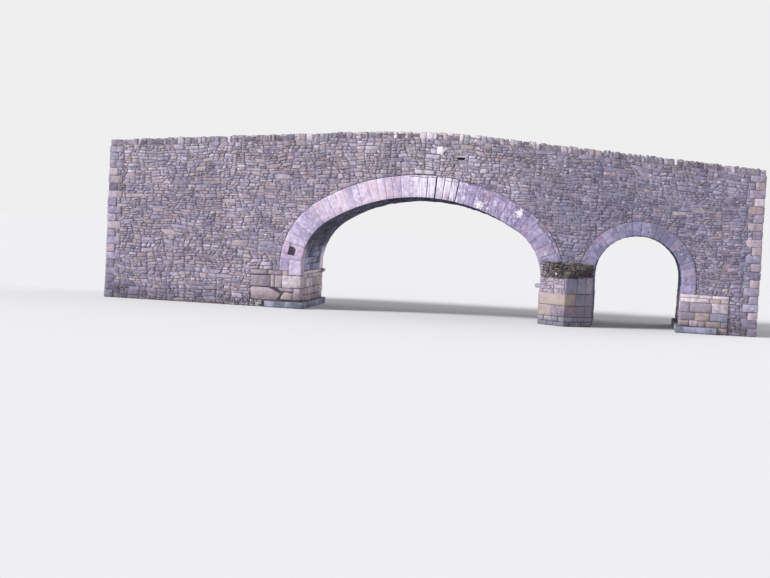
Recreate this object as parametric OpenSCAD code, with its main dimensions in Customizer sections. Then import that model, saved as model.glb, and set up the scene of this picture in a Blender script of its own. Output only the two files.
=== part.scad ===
// Old two-arch stone bridge: a wide three-centred main arch, a small
// round flood arch, and a pier with pointed cutwaters between them.
// Millimetres. +X runs along the bridge to its right end, +Y from the
// front face to the back, +Z up. The origin is the middle of the base.

/* [Body] */
// Width between the plain wall faces
body_w = 3600; // [3200:10:5000]
// Thickness of the spandrel, wing and end walls
wall_t = 500; // [350:10:700]
// How far the arch rings, pier and abutments stand out from the plain walls
proud = 30; // [10:5:60]
// Length of the left wing walls, from the abutment to the end
left_wing_l = 5100; // [2000:50:8000]
// Length of the right wing walls, from the abutment to the end
right_wing_l = 900; // [800:50:8000]

/* [Main arch] */
// Clear width of the main arch
main_span = 8000; // [6500:50:10000]
// Height of the curve above the upright stretch
main_rise = 2490; // [2300:10:2800]
// Radius of the tight curve at each side
main_haunch_r = 1850; // [1500:10:2150]
// Upright stretch between the imposts and the curve
main_stilt = 200; // [50:10:500]
// Depth of the ring stones on the faces
main_ring_d = 720; // [500:10:800]
// Thickness of the vault between the two face rings
main_vault_d = 600; // [400:10:720]

/* [Flood arch] */
// Clear width of the small round arch
side_span = 2860; // [2000:20:3400]
// Upright stretch below its half circle
side_stilt = 370; // [50:10:700]
// Depth of the ring stones on the faces
side_ring_d = 450; // [300:10:600]
// Thickness of the vault between the two face rings
side_vault_d = 400; // [250:10:600]

/* [Pier and abutments] */
// Height of the level on which both arches stand
spring_z = 1250; // [900:10:1800]
// Width of the pier between the two openings
pier_w = 1680; // [1400:10:2400]
// Reach of the pointed cutwater in front of the pier
nose_out = 600; // [300:10:1000]
// Height of the point of the cutwater
nose_z = 1550; // [1300:10:1900]
// Height at which the sloping cap meets the wall
cap_z = 2020; // [1950:10:2600]
// Width of the left abutment
left_abutment_w = 1700; // [1300:10:2500]
// Width of the right abutment
right_abutment_w = 1500; // [1000:10:2500]
// Height of the long footing slabs
footing_h = 220; // [120:10:350]
// How far the footing slabs reach out
footing_out = 130; // [50:10:300]
// Length of the footing slabs along the bridge
footing_l = 1300; // [900:10:1900]

/* [Imposts] */
// Height of the impost course under the main arch
impost_h = 110; // [60:5:200]
// How far the impost course reaches into the opening
impost_out = 60; // [30:5:120]
// Reach of the longer stone that is left at one end of each course
stone_out = 180; // [130:5:260]
// Length of that stone along the course
stone_l = 420; // [250:10:700]
// Length of the broken stretch at the front of the left course
broken_l = 1400; // [600:10:1800]

/* [Missing ring stone] */
// Width of the hole in the ring
hole_w = 300; // [200:10:360]
// Height of the hole to the top of its rounded head
hole_h = 340; // [250:10:450]
// Depth of the hole
hole_deep = 280; // [100:10:400]
// Ring stone left between the opening and the hole
hole_in = 200; // [120:10:260]
// Height of the hole above the springing
hole_up = 490; // [300:10:600]

/* [Roadway] */
// Walling over the crown of the main arch, up to the bed of the road
crown_cover = 430; // [300:10:700]
// Thickness of the roadway
road_t = 150; // [80:10:250]
// Radius of the hump over the main arch
hump_r = 30000; // [20000:500:60000]
// Half the length of the rounded hump, before the straight slopes
hump_half = 2200; // [1200:50:3000]

/* [Parapets] */
// Thickness of the parapets
parapet_t = 400; // [300:10:500]
// Height of the parapets above the roadway, without the coping
parapet_h = 620; // [400:10:900]
// Height of the rough coping
coping_h = 230; // [150:10:300]
// How far the coping stands over both faces of the parapet
coping_out = 15; // [5:5:30]
// Width of the drain slot through each parapet
drain_w = 230; // [120:10:350]
// Height of the drain slot
drain_h = 80; // [60:5:150]
// Distance of the drain slots from the crown of the main arch
drain_x = 1190; // [600:10:2200]

/* [Hidden] */
$fn = 240;

// Stations along the bridge
total_l = left_wing_l + left_abutment_w + main_span + pier_w + side_span
    + right_abutment_w + right_wing_l;
left_end = -total_l / 2;
right_end = total_l / 2;
left_abutment_x = left_end + left_wing_l;
main_left = left_abutment_x + left_abutment_w;
main_x = main_left + main_span / 2;
pier_left = main_left + main_span;
pier_right = pier_left + pier_w;
side_x = pier_right + side_span / 2;
side_right = pier_right + side_span;
right_abutment_x = side_right + right_abutment_w;

// Lines across the bridge
face_y = body_w / 2;
proud_y = face_y + proud;
inner_y = face_y - wall_t;
parapet_y = face_y - parapet_t;

// Heights and curves
main_centre_z = spring_z + main_stilt;
main_haunch_x = main_span / 2 - main_haunch_r;
main_crown_r = (pow(main_haunch_x, 2) + pow(main_rise, 2) - pow(main_haunch_r, 2))
    / (2 * (main_rise - main_haunch_r));
main_crown_z = main_centre_z + main_rise;
main_crown_down = main_crown_r - main_rise;
haunch_turn = atan2(main_crown_down, main_haunch_x);
crown_turn = 180 - 2 * haunch_turn;
haunch_steps = 12;
crown_steps = 36;
last_point = 2 * haunch_steps + crown_steps + 2;
joint_point = haunch_steps + crown_steps / 4 + 1;
side_r = side_span / 2;
side_centre_z = spring_z + side_stilt;
road_crown_z = main_crown_z + main_ring_d + crown_cover + road_t;
hump_end_drop = hump_r - sqrt(pow(hump_r, 2) - pow(hump_half, 2));
hump_slope = hump_half / sqrt(pow(hump_r, 2) - pow(hump_half, 2));
hump_steps = 8;
impost_deep = main_ring_d;
footing_in = footing_l - footing_out;

// Colours
ring_colour = [0.78, 0.70, 0.68];
rubble_colour = [0.55, 0.48, 0.49];
ashlar_colour = [0.66, 0.55, 0.50];
vault_colour = [0.42, 0.38, 0.38];
coping_colour = [0.60, 0.55, 0.53];
road_colour = [0.50, 0.46, 0.40];
fill_colour = [0.42, 0.37, 0.32];
footing_colour = [0.36, 0.34, 0.34];

// Height of the roadway at a station: a rounded hump with straight slopes
function road_z(x) = let (u = abs(x - main_x))
    road_crown_z - (u < hump_half
        ? hump_r - sqrt(pow(hump_r, 2) - pow(u, 2))
        : hump_end_drop + (u - hump_half) * hump_slope);

// Stations of the hump that lie between two ends, with both ends
function stations(x0, x1) = concat([x0],
    [for (i = [-hump_steps : hump_steps])
        let (x = main_x + i * hump_half / hump_steps)
        if (x > x0 + 1 && x < x1 - 1) x],
    [x1]);

// Elevation drawn in X and Z, made solid from y0 to y1
module across(y0, y1) {
    translate([0, y1, 0]) rotate([90, 0, 0]) linear_extrude(y1 - y0) children();
}

// Copy to the back face
module to_back() {
    mirror([0, 1, 0]) children();
}

// Strip of elevation that follows the roadway, from lo to hi above it
module strip(x0, x1, lo, hi) {
    xs = stations(x0, x1);
    n = len(xs);
    polygon(concat(
        [for (i = [0 : n - 1]) [xs[i], road_z(xs[i]) + hi]],
        [for (i = [n - 1 : -1 : 0]) [xs[i], road_z(xs[i]) + lo]]));
}

// Elevation from a level foot up to the bed of the road
module walling(x0, x1, foot_z) {
    xs = stations(x0, x1);
    polygon(concat([for (x = xs) [x, road_z(x) - road_t]], [[x1, foot_z], [x0, foot_z]]));
}

// Point of an arc, from its centre, radius and angle
function arc_point(cx, cz, r, a) = [cx + r * cos(a), cz + r * sin(a)];

// Main arch from springing to springing: a wide middle arc between two
// tighter ones that it meets without a corner, grown outwards by a ring depth
function main_curve(grow) = concat(
    [for (i = [0 : haunch_steps]) arc_point(-main_haunch_x, 0, main_haunch_r + grow,
        180 - i * haunch_turn / haunch_steps)],
    [for (i = [1 : crown_steps - 1]) arc_point(0, -main_crown_down, main_crown_r + grow,
        180 - haunch_turn - i * crown_turn / crown_steps)],
    [for (i = [0 : haunch_steps]) arc_point(main_haunch_x, 0, main_haunch_r + grow,
        haunch_turn * (1 - i / haunch_steps))]);

// The same with the upright stretch under it
function main_outline(grow) = concat(
    [[-main_span / 2 - grow, -main_stilt]],
    main_curve(grow),
    [[main_span / 2 + grow, -main_stilt]]);

function backwards(points) = [for (i = [len(points) - 1 : -1 : 0]) points[i]];

// Lengths in which its rings and vault are built, by the points of the outline
whole_arch = [0, last_point];
left_haunch = [0, joint_point];
crown = [joint_point, last_point - joint_point];
right_haunch = [last_point - joint_point, last_point];

function length_of(points, part) = [for (i = [part[0] : part[1]]) points[i]];

module main_area(grow) {
    translate([main_x, main_centre_z]) polygon(main_outline(grow));
}

// Band of stone round a part of the main arch, as deep as it is given
module main_band(depth, part) {
    translate([main_x, main_centre_z])
        polygon(concat(length_of(main_outline(depth), part),
            backwards(length_of(main_outline(0), part))));
}

// Flood arch as an area, grown outwards by a ring depth
module side_area(grow) {
    half = side_r + grow;
    translate([side_x, 0]) {
        translate([-half, spring_z]) square([2 * half, side_stilt]);
        intersection() {
            translate([0, side_centre_z]) circle(half);
            translate([-half, side_centre_z]) square([2 * half, half + 1]);
        }
    }
}

// Band of stone round the flood arch
module side_band(depth) {
    difference() {
        side_area(depth);
        side_area(0);
    }
}

// Long slab under the end of an abutment that faces the opening
module footing(edge_x, side) {
    x0 = side < 0 ? edge_x - footing_in : edge_x - footing_out;
    translate([x0, -proud_y - footing_out, 0])
        cube([footing_l, 2 * (proud_y + footing_out), footing_h]);
}

module left_footing() {
    color(footing_colour) footing(main_left, -1);
}

module right_footing() {
    color(footing_colour) footing(side_right, 1);
}

// Solid block under the springing, over the whole width of the bridge
module block(x0, x1) {
    translate([x0, -proud_y, 0]) cube([x1 - x0, 2 * proud_y, spring_z]);
}

module left_abutment() {
    color(ashlar_colour) difference() {
        block(left_abutment_x, main_left);
        left_impost_seat();
        footing(main_left, -1);
    }
}

module right_abutment() {
    color(ashlar_colour) difference() {
        block(side_right, right_abutment_x);
        footing(side_right, 1);
    }
}

module pier() {
    color(ashlar_colour) difference() {
        block(pier_left, pier_right);
        pier_impost_seat();
    }
}

// Seat of an impost course in the head of the masonry
module left_impost_seat() {
    translate([main_left - impost_deep, -proud_y, spring_z - impost_h])
        cube([impost_deep, 2 * proud_y, impost_h]);
}

module pier_impost_seat() {
    translate([pier_left, -proud_y, spring_z - impost_h])
        cube([impost_deep, 2 * proud_y, impost_h]);
}

// Left course: broken off flush at the front, one long stone at the back
module left_impost() {
    color(ashlar_colour) {
        left_impost_seat();
        translate([main_left, -proud_y + broken_l, spring_z - impost_h])
            cube([impost_out, 2 * proud_y - broken_l, impost_h]);
        translate([main_left, proud_y - stone_l, spring_z - impost_h])
            cube([stone_out, stone_l, impost_h]);
    }
}

// Pier course: one long stone at the front
module pier_impost() {
    color(ashlar_colour) {
        pier_impost_seat();
        translate([pier_left - impost_out, -proud_y, spring_z - impost_h])
            cube([impost_out, 2 * proud_y, impost_h]);
        translate([pier_left - stone_out, -proud_y, spring_z - impost_h])
            cube([stone_out, stone_l, impost_h]);
    }
}

// Plan of the pointed cutwater, from the wall face to the nose
module nose_plan() {
    polygon([[pier_left, -face_y], [pier_left, -proud_y],
        [(pier_left + pier_right) / 2, -proud_y - nose_out],
        [pier_right, -proud_y], [pier_right, -face_y]]);
}

// What already stands behind the cutwater
module behind_nose() {
    block(pier_left, pier_right);
    across(-proud_y, -face_y) {
        main_band(main_ring_d, whole_arch);
        side_band(side_ring_d);
    }
}

module cutwater_body() {
    difference() {
        linear_extrude(nose_z) nose_plan();
        behind_nose();
    }
}

// Cap that slopes back from the nose to the wall
module cutwater_cap_body() {
    difference() {
        intersection() {
            translate([0, 0, nose_z]) linear_extrude(cap_z - nose_z) nose_plan();
            translate([pier_left, 0, 0]) rotate([90, 0, 90]) linear_extrude(pier_w)
                polygon([[-proud_y - nose_out, nose_z], [-face_y, nose_z],
                    [-face_y, cap_z], [-proud_y, cap_z]]);
        }
        behind_nose();
    }
}

module front_cutwater() {
    color(ashlar_colour) cutwater_body();
}

module back_cutwater() {
    color(ashlar_colour) to_back() cutwater_body();
}

module front_cutwater_cap() {
    color(rubble_colour) cutwater_cap_body();
}

module back_cutwater_cap() {
    color(rubble_colour) to_back() cutwater_cap_body();
}

// Vaults between the face rings
module main_vault_part(part) {
    color(vault_colour) across(-inner_y, inner_y) main_band(main_vault_d, part);
}

module left_main_vault() {
    main_vault_part(left_haunch);
}

module crown_main_vault() {
    main_vault_part(crown);
}

module right_main_vault() {
    main_vault_part(right_haunch);
}

module side_vault() {
    color(vault_colour) across(-inner_y, inner_y) side_band(side_vault_d);
}

// Hole where an outer ring stone is missing, with a rounded head
module ring_hole() {
    translate([main_left - hole_in - hole_w, 0, 0])
        across(-proud_y - 1, -proud_y + hole_deep)
            translate([0, spring_z + hole_up]) {
                square([hole_w, hole_h - hole_w / 2]);
                translate([hole_w / 2, hole_h - hole_w / 2]) circle(hole_w / 2);
            }
}

module main_ring_part(part) {
    color(ring_colour) across(-proud_y, -inner_y) main_band(main_ring_d, part);
}

module front_left_main_ring() {
    color(ring_colour) difference() {
        main_ring_part(left_haunch);
        ring_hole();
    }
}

module front_crown_main_ring() {
    main_ring_part(crown);
}

module front_right_main_ring() {
    main_ring_part(right_haunch);
}

module back_left_main_ring() {
    to_back() main_ring_part(left_haunch);
}

module back_crown_main_ring() {
    to_back() main_ring_part(crown);
}

module back_right_main_ring() {
    to_back() main_ring_part(right_haunch);
}

module front_side_ring() {
    color(ring_colour) across(-proud_y, -inner_y) side_band(side_ring_d);
}

module back_side_ring() {
    color(ring_colour) across(inner_y, proud_y) side_band(side_ring_d);
}

// Walling over the arches, cut to their rings
module spandrel(x0, x1) {
    color(rubble_colour) across(-face_y, -inner_y) difference() {
        walling(x0, x1, spring_z);
        main_area(main_ring_d);
        side_area(side_ring_d);
    }
}

module front_left_spandrel() {
    spandrel(left_abutment_x, main_x);
}

module front_middle_spandrel() {
    spandrel(main_x, side_x);
}

module front_right_spandrel() {
    spandrel(side_x, right_abutment_x);
}

module back_left_spandrel() {
    to_back() spandrel(left_abutment_x, main_x);
}

module back_middle_spandrel() {
    to_back() spandrel(main_x, side_x);
}

module back_right_spandrel() {
    to_back() spandrel(side_x, right_abutment_x);
}

// Wing walls from the level of the base up
module wing_wall(x0, x1) {
    color(rubble_colour) across(-face_y, -inner_y) walling(x0, x1, 0);
}

module front_left_wing_wall() {
    wing_wall(left_end, left_abutment_x);
}

module front_right_wing_wall() {
    wing_wall(right_abutment_x, right_end);
}

module back_left_wing_wall() {
    to_back() wing_wall(left_end, left_abutment_x);
}

module back_right_wing_wall() {
    to_back() wing_wall(right_abutment_x, right_end);
}

module end_wall(x0) {
    color(rubble_colour) across(-inner_y, inner_y) walling(x0, x0 + wall_t, 0);
}

module left_end_wall() {
    end_wall(left_end);
}

module right_end_wall() {
    end_wall(right_end - wall_t);
}

// Packed earth and rubble between the walls, over both arches
module earth_fill() {
    color(fill_colour) across(-inner_y, inner_y) difference() {
        union() {
            walling(left_end + wall_t, left_abutment_x, 0);
            walling(left_abutment_x, right_abutment_x, spring_z);
            walling(right_abutment_x, right_end - wall_t, 0);
        }
        main_area(main_vault_d);
        side_area(side_vault_d);
    }
}

module roadway() {
    color(road_colour) across(-parapet_y, parapet_y) strip(left_end, right_end, -road_t, 0);
}

module parapet(x0, x1) {
    color(rubble_colour) across(-face_y, -parapet_y) strip(x0, x1, -road_t, parapet_h);
}

// Drain slot at the level of the road
module drain() {
    x0 = main_x + drain_x - drain_w / 2;
    across(-face_y - 1, -parapet_y + 1) strip(x0, x0 + drain_w, 0, drain_h);
}

module drained_parapet() {
    difference() {
        parapet(main_x, right_end);
        drain();
    }
}

module front_left_parapet() {
    parapet(left_end, main_x);
}

module front_right_parapet() {
    drained_parapet();
}

module back_left_parapet() {
    to_back() parapet(left_end, main_x);
}

module back_right_parapet() {
    to_back() drained_parapet();
}

module coping(x0, x1) {
    color(coping_colour) across(-face_y - coping_out, -parapet_y + coping_out)
        strip(x0, x1, parapet_h, parapet_h + coping_h);
}

module front_left_coping() {
    coping(left_end, main_x);
}

module front_right_coping() {
    coping(main_x, right_end);
}

module back_left_coping() {
    to_back() coping(left_end, main_x);
}

module back_right_coping() {
    to_back() coping(main_x, right_end);
}

left_footing();
right_footing();
left_abutment();
right_abutment();
pier();
front_cutwater();
back_cutwater();
front_cutwater_cap();
back_cutwater_cap();
left_impost();
pier_impost();
left_main_vault();
crown_main_vault();
right_main_vault();
front_left_main_ring();
front_crown_main_ring();
front_right_main_ring();
back_left_main_ring();
back_crown_main_ring();
back_right_main_ring();
side_vault();
front_side_ring();
back_side_ring();
front_left_spandrel();
front_middle_spandrel();
front_right_spandrel();
back_left_spandrel();
back_middle_spandrel();
back_right_spandrel();
front_left_wing_wall();
front_right_wing_wall();
back_left_wing_wall();
back_right_wing_wall();
left_end_wall();
right_end_wall();
earth_fill();
roadway();
front_left_parapet();
front_right_parapet();
back_left_parapet();
back_right_parapet();
front_left_coping();
front_right_coping();
back_left_coping();
back_right_coping();
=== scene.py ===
"""Looks of an old two-arch stone bridge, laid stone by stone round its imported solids.

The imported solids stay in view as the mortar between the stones. Over them come the ring stones and
vault courses, which follow the arches, squared blocks round the pier and the abutments, random
rubble on the walls and parapets, and rough stones on edge along the top. Lengths are in metres.
+X runs along the bridge, the front face looks towards -Y, and the floor is at height 0.
"""

from __future__ import annotations

import logging
import math
from collections.abc import Callable, Iterator, Sequence
from dataclasses import dataclass, field, replace
from enum import Enum
from functools import cache, partial, reduce
from itertools import product

import bmesh
import bpy
import numpy as np
from mathutils import Matrix, Vector


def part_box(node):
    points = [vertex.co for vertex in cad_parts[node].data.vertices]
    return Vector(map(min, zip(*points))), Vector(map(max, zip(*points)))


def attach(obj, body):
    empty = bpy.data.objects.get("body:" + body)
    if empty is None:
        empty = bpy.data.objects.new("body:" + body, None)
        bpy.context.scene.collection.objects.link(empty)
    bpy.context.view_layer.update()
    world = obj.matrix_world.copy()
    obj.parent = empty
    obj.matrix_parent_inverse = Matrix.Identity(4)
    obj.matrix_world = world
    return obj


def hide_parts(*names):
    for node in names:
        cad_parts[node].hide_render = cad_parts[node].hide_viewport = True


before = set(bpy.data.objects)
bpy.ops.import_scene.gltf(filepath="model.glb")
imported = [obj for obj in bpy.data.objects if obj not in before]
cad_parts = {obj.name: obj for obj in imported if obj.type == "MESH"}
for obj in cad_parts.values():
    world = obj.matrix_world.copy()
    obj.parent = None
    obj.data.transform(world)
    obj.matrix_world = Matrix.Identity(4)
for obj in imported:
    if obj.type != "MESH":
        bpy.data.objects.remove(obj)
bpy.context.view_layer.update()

LOG = logging.getLogger("stone_bridge")
BODY = "root"

Point = tuple[float, float]
Spot = tuple[float, float, float]
Shape = list[Point]
Cut = Callable[[Shape], Shape]
Chance = np.random.Generator
Piece = bpy.types.Object

SAME = 1e-4
WHOLE_TURN = 6.28
FLOOR_GAP = 0.008
SHORTEST_RUN = 0.02
SMOOTH_ANGLE = 0.6


class Face(Enum):
    """The two long faces of the bridge, by the side of the Y axis that they look towards."""

    FRONT = -1
    BACK = 1

    @property
    def word(self) -> str:
        """Name of the face, as used in the names of its pieces."""
        return self.name.lower()


def low_corner(node: str) -> Vector:
    """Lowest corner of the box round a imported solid."""
    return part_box(node)[0]


def high_corner(node: str) -> Vector:
    """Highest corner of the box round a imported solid."""
    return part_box(node)[1]


@dataclass(frozen=True)
class BridgeSizes:
    """Stations, planes and heights of the bridge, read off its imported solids."""

    left_end: float = low_corner("roadway").x
    left_abutment: float = low_corner("left_abutment").x
    main_left: float = high_corner("left_abutment").x
    pier_left: float = low_corner("pier").x
    pier_right: float = high_corner("pier").x
    side_right: float = low_corner("right_abutment").x
    right_abutment: float = high_corner("right_abutment").x
    right_end: float = high_corner("roadway").x
    face_y: float = -low_corner("front_left_wing_wall").y
    proud_y: float = high_corner("pier").y
    inner_y: float = high_corner("left_main_vault").y
    parapet_y: float = high_corner("roadway").y
    nose_y: float = high_corner("back_cutwater").y
    spring_z: float = high_corner("right_abutment").z
    impost_z: float = low_corner("left_impost").z
    footing_z: float = high_corner("left_footing").z
    nose_z: float = high_corner("front_cutwater").z
    cap_z: float = high_corner("front_cutwater_cap").z
    road_z: float = high_corner("roadway").z
    parapet_z: float = high_corner("front_left_parapet").z
    main_ring: float = main_left - low_corner("front_left_main_ring").x
    side_ring: float = high_corner("front_side_ring").x - side_right
    main_top: float = high_corner("front_crown_main_ring").z - main_ring
    side_top: float = high_corner("front_side_ring").z - side_ring
    parapet_h: float = parapet_z - road_z
    coping_h: float = high_corner("front_left_coping").z - parapet_z
    pier_x: float = (pier_left + pier_right) / 2
    pier_half: float = (pier_right - pier_left) / 2
    nose_reach: float = nose_y - proud_y


SIZES = BridgeSizes()


@dataclass(frozen=True)
class ArchLine:
    """Line of the underside of an arch, from its left springing over the crown to its right one.

    It is an upright stretch, a tight arc, a wide arc, a tight arc and an upright stretch, which
    meet without corners. On a round arch the wide arc has no length.
    """

    left: float
    right: float
    top_z: float
    stilt: float
    haunch_r: float
    spring_z: float = SIZES.spring_z

    @property
    def centre_x(self) -> float:
        """Station of the middle of the arch."""
        return (self.left + self.right) / 2

    @property
    def half_span(self) -> float:
        """Half the width of the opening."""
        return (self.right - self.left) / 2

    @property
    def rise(self) -> float:
        """Height of the curve above the upright stretches."""
        return self.top_z - self.spring_z - self.stilt

    @property
    def haunch_x(self) -> float:
        """Distance of the centres of the tight arcs from the middle of the arch."""
        return self.half_span - self.haunch_r

    @property
    def crown_r(self) -> float:
        """Radius of the wide arc, or of the tight ones where the arch is round.

        Returns:
            The radius.
        """
        spare = self.rise - self.haunch_r
        if spare < SAME:
            return self.haunch_r
        return (self.haunch_x**2 + self.rise**2 - self.haunch_r**2) / (2 * spare)

    @property
    def turn(self) -> float:
        """Angle through which each tight arc turns."""
        wide = self.haunch_x > SAME
        return math.atan2(self.crown_r - self.rise, self.haunch_x) if wide else math.pi / 2

    @property
    def length(self) -> float:
        """Length of the whole line."""
        crown = self.crown_r * (math.pi - 2 * self.turn)
        return 2 * self.stilt + 2 * self.haunch_r * self.turn + crown

    def at(self, along: np.ndarray, out: np.ndarray) -> tuple[np.ndarray, np.ndarray]:
        """Finds points by their length along the line and their depth in the masonry.

        Args:
            along: Lengths from the left springing, or less than 0 under it.
            out: Depths outwards from the line.

        Returns:
            The X and Z of the points.
        """
        near = np.minimum(along, self.length - along)
        side = np.where(along > self.length / 2, 1.0, -1.0)
        haunch = self.haunch_r * self.turn
        tight = near < self.stilt + haunch
        radius = np.where(tight, self.haunch_r, self.crown_r)
        started = np.where(tight, 0.0, self.turn - haunch / self.crown_r)
        angle = math.pi - started - np.maximum(near - self.stilt, 0.0) / radius
        mid_x = np.where(tight, -self.haunch_x, 0.0)
        mid_z = np.where(tight, self.stilt, self.stilt + self.rise - self.crown_r)
        x = mid_x + (radius + out) * np.cos(angle)
        z = mid_z + (radius + out) * np.sin(angle) + np.minimum(near - self.stilt, 0.0)
        return self.centre_x - side * x, self.spring_z + z

    def station(self, along: float) -> float:
        """Station of a point of the line, measured from the middle of the arch."""
        return float(self.at(np.array(along), np.array(0.0))[0]) - self.centre_x

    def over_crown(self, over: float, out: float = 0.0) -> float:
        """Length along the line of a station near the crown, read at a depth in the ring."""
        return self.length / 2 + self.crown_r * math.asin(over / (self.crown_r + out))

    def outward(self, x: float, z: float) -> tuple[float, Point]:
        """Measures a point against the line.

        Args:
            x: Station of the point.
            z: Height of the point.

        Returns:
            How far it lies outside the line, and the direction straight out there.
        """
        side = 1.0 if x >= self.centre_x else -1.0
        over, up = abs(x - self.centre_x), z - self.spring_z
        if up <= self.stilt:
            return over - self.half_span, (side, 0.0)
        across, rise = over - self.haunch_x, up - self.stilt
        radius = self.haunch_r
        if across <= 0 or math.atan2(rise, across) > self.turn:
            across, rise = over, up - self.stilt - self.rise + self.crown_r
            radius = self.crown_r
        reach = math.hypot(across, rise)
        return reach - radius, (side * across / reach, rise / reach)


@dataclass(frozen=True)
class RoadLine:
    """Humped line of the roadway along the bridge."""

    crown_x: float
    crown_z: float
    hump_r: float = 30.0
    hump_half: float = 2.2

    def height(self, x: float) -> float:
        """Height of the roadway at a station.

        Args:
            x: The station.

        Returns:
            The height there.
        """
        over = abs(x - self.crown_x)
        flat = min(over, self.hump_half)
        deep = math.sqrt(self.hump_r**2 - flat**2)
        return self.crown_z - self.hump_r + deep - (over - flat) * flat / deep


MAIN_ARCH = ArchLine(SIZES.main_left, SIZES.pier_left, SIZES.main_top, stilt=0.2, haunch_r=1.85)
SIDE_HALF = (SIZES.side_right - SIZES.pier_right) / 2
SIDE_STILT = SIZES.side_top - SIZES.spring_z - SIDE_HALF
SIDE_ARCH = ArchLine(SIZES.pier_right, SIZES.side_right, SIZES.side_top, SIDE_STILT, SIDE_HALF)
ROAD = RoadLine(crown_x=MAIN_ARCH.centre_x, crown_z=SIZES.road_z)
HALVES = (
    ("left", SIZES.left_end, MAIN_ARCH.centre_x),
    ("right", MAIN_ARCH.centre_x, SIZES.right_end),
)


def graded(at: float, *stops: Point) -> float:
    """Reads a value that changes evenly between named places."""
    return float(np.interp(at, [s[0] for s in stops], [s[1] for s in stops]))


def stretches(start: float, end: float, lengths: Point, rng: Chance, shortest: float) -> Iterator[Point]:
    """Divides a run by chance, with a last stretch that takes what is left.

    Args:
        start: Where the run starts.
        end: Where it ends.
        lengths: Least and greatest length of a stretch.
        rng: Source of chance.
        shortest: Shortest remainder that still gets a stretch of its own.

    Yields:
        Where each stretch starts, and its length.
    """
    while start < end - SHORTEST_RUN:
        length = rng.uniform(*lengths)
        if end - start - length < shortest:
            length = end - start
        yield start, length
        start += length


def middle(shape: Shape) -> Point:
    """Middle of a shape's corners."""
    return sum(p[0] for p in shape) / len(shape), sum(p[1] for p in shape) / len(shape)


def area(shape: Shape) -> float:
    """Area of a shape whose corners run anticlockwise, or 0 where it has no corners left."""
    return sum(a[0] * b[1] - b[0] * a[1] for a, b in zip(shape, shape[1:] + shape[:1])) / 2


def between(a: Point, b: Point, share: float) -> Point:
    """Point on the way from one point to another."""
    return a[0] + (b[0] - a[0]) * share, a[1] + (b[1] - a[1]) * share


def clipped(shape: Shape, foot: Point, inward: Point) -> Shape:
    """Cuts a shape along a line.

    Args:
        shape: Corners of the shape.
        foot: A point on the line.
        inward: Direction from the line to the side that is kept.

    Returns:
        The corners that are left, with new ones on the line.
    """
    kept: Shape = []
    sides = [(p[0] - foot[0]) * inward[0] + (p[1] - foot[1]) * inward[1] for p in shape]
    for i, (a, side_a) in enumerate(zip(shape, sides)):
        b, side_b = shape[(i + 1) % len(shape)], sides[(i + 1) % len(shape)]
        if side_a >= 0:
            kept.append(a)
        if (side_a >= 0) != (side_b >= 0):
            kept.append(between(a, b, side_a / (side_a - side_b)))
    return kept


def shrunk(shape: Shape, by: float) -> Shape:
    """Draws every side of a shape inwards, which leaves room for half a joint.

    Args:
        shape: Corners, anticlockwise.
        by: How far each side moves.

    Returns:
        The smaller shape, or an empty one.
    """
    small = shape
    for a, b in zip(shape, shape[1:] + shape[:1]):
        run = math.dist(a, b)
        if run > 1e-6:
            inward = (-(b[1] - a[1]) / run, (b[0] - a[0]) / run)
            small = clipped(small, (a[0] + inward[0] * by, a[1] + inward[1] * by), inward)
    return small


def without_slivers(shape: Shape, shortest: float, most: int) -> Shape:
    """Drops the corners that make very short sides.

    Args:
        shape: Corners of the shape.
        shortest: Shortest side that may stay.
        most: Most corners that may stay.

    Returns:
        The simpler shape.
    """
    simple = list(shape)
    while len(simple) > 3:
        sides = [math.dist(a, b) for a, b in zip(simple, simple[1:] + simple[:1])]
        least = min(range(len(sides)), key=sides.__getitem__)
        if sides[least] > shortest and len(simple) <= most:
            break
        del simple[least]
    return simple


def outside_ring(shape: Shape, arch: ArchLine, depth: float) -> Shape:
    """Keeps what lies outside the ring stones of an arch, which have a depth."""
    (x, z), (gap, normal) = middle(shape), arch.outward(*middle(shape))
    return clipped(shape, (x - normal[0] * (gap - depth), z - normal[1] * (gap - depth)), normal)


def outside_box(shape: Shape, low: Point, high: Point) -> Shape:
    """Keeps the largest part of a shape beside, over or under an upright box."""
    sides = ((low, (-1.0, 0.0)), (high, (1.0, 0.0)), (low, (0.0, -1.0)), (high, (0.0, 1.0)))
    return max((clipped(shape, foot, inward) for foot, inward in sides), key=area)


def within(shape: Shape, left: float, right: float) -> Shape:
    """Keeps what lies between two stations."""
    return clipped(clipped(shape, (left, 0.0), (1.0, 0.0)), (right, 0.0), (-1.0, 0.0))


def over_floor(shape: Shape) -> Shape:
    """Keeps what lies over the floor, less half a joint."""
    return clipped(shape, (0.0, FLOOR_GAP), (0.0, 1.0))


@dataclass(frozen=True)
class Plane:
    """A working plane: where it starts, and its directions across, up and out of the stone."""

    start: Spot
    across: Spot
    up: Spot
    out: Spot

    def world(self, flat: np.ndarray, out: np.ndarray) -> np.ndarray:
        """Turns places on the plane and their heights over it into places in the scene."""
        return self.start + flat @ np.array([self.across, self.up]) + np.outer(out, self.out)

    @property
    def mirrored(self) -> bool:
        """Whether a stone comes out inside out on this plane."""
        return np.linalg.det([self.across, self.up, self.out]) < 0


def long_plane(y: float, out: float) -> Plane:
    """Upright plane along the bridge whose stations and heights are the scene's own."""
    return Plane((0.0, y, 0.0), (1.0, 0.0, 0.0), (0.0, 0.0, 1.0), (0.0, out, 0.0))


def box_corners(start: Sequence[float], *runs: Sequence[float]) -> np.ndarray:
    """Corners of a block from one corner and its three edges."""
    return np.array(start) + np.einsum("aijk,ac->ijkc", np.indices((2, 2, 2)), np.array(runs, float))


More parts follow.
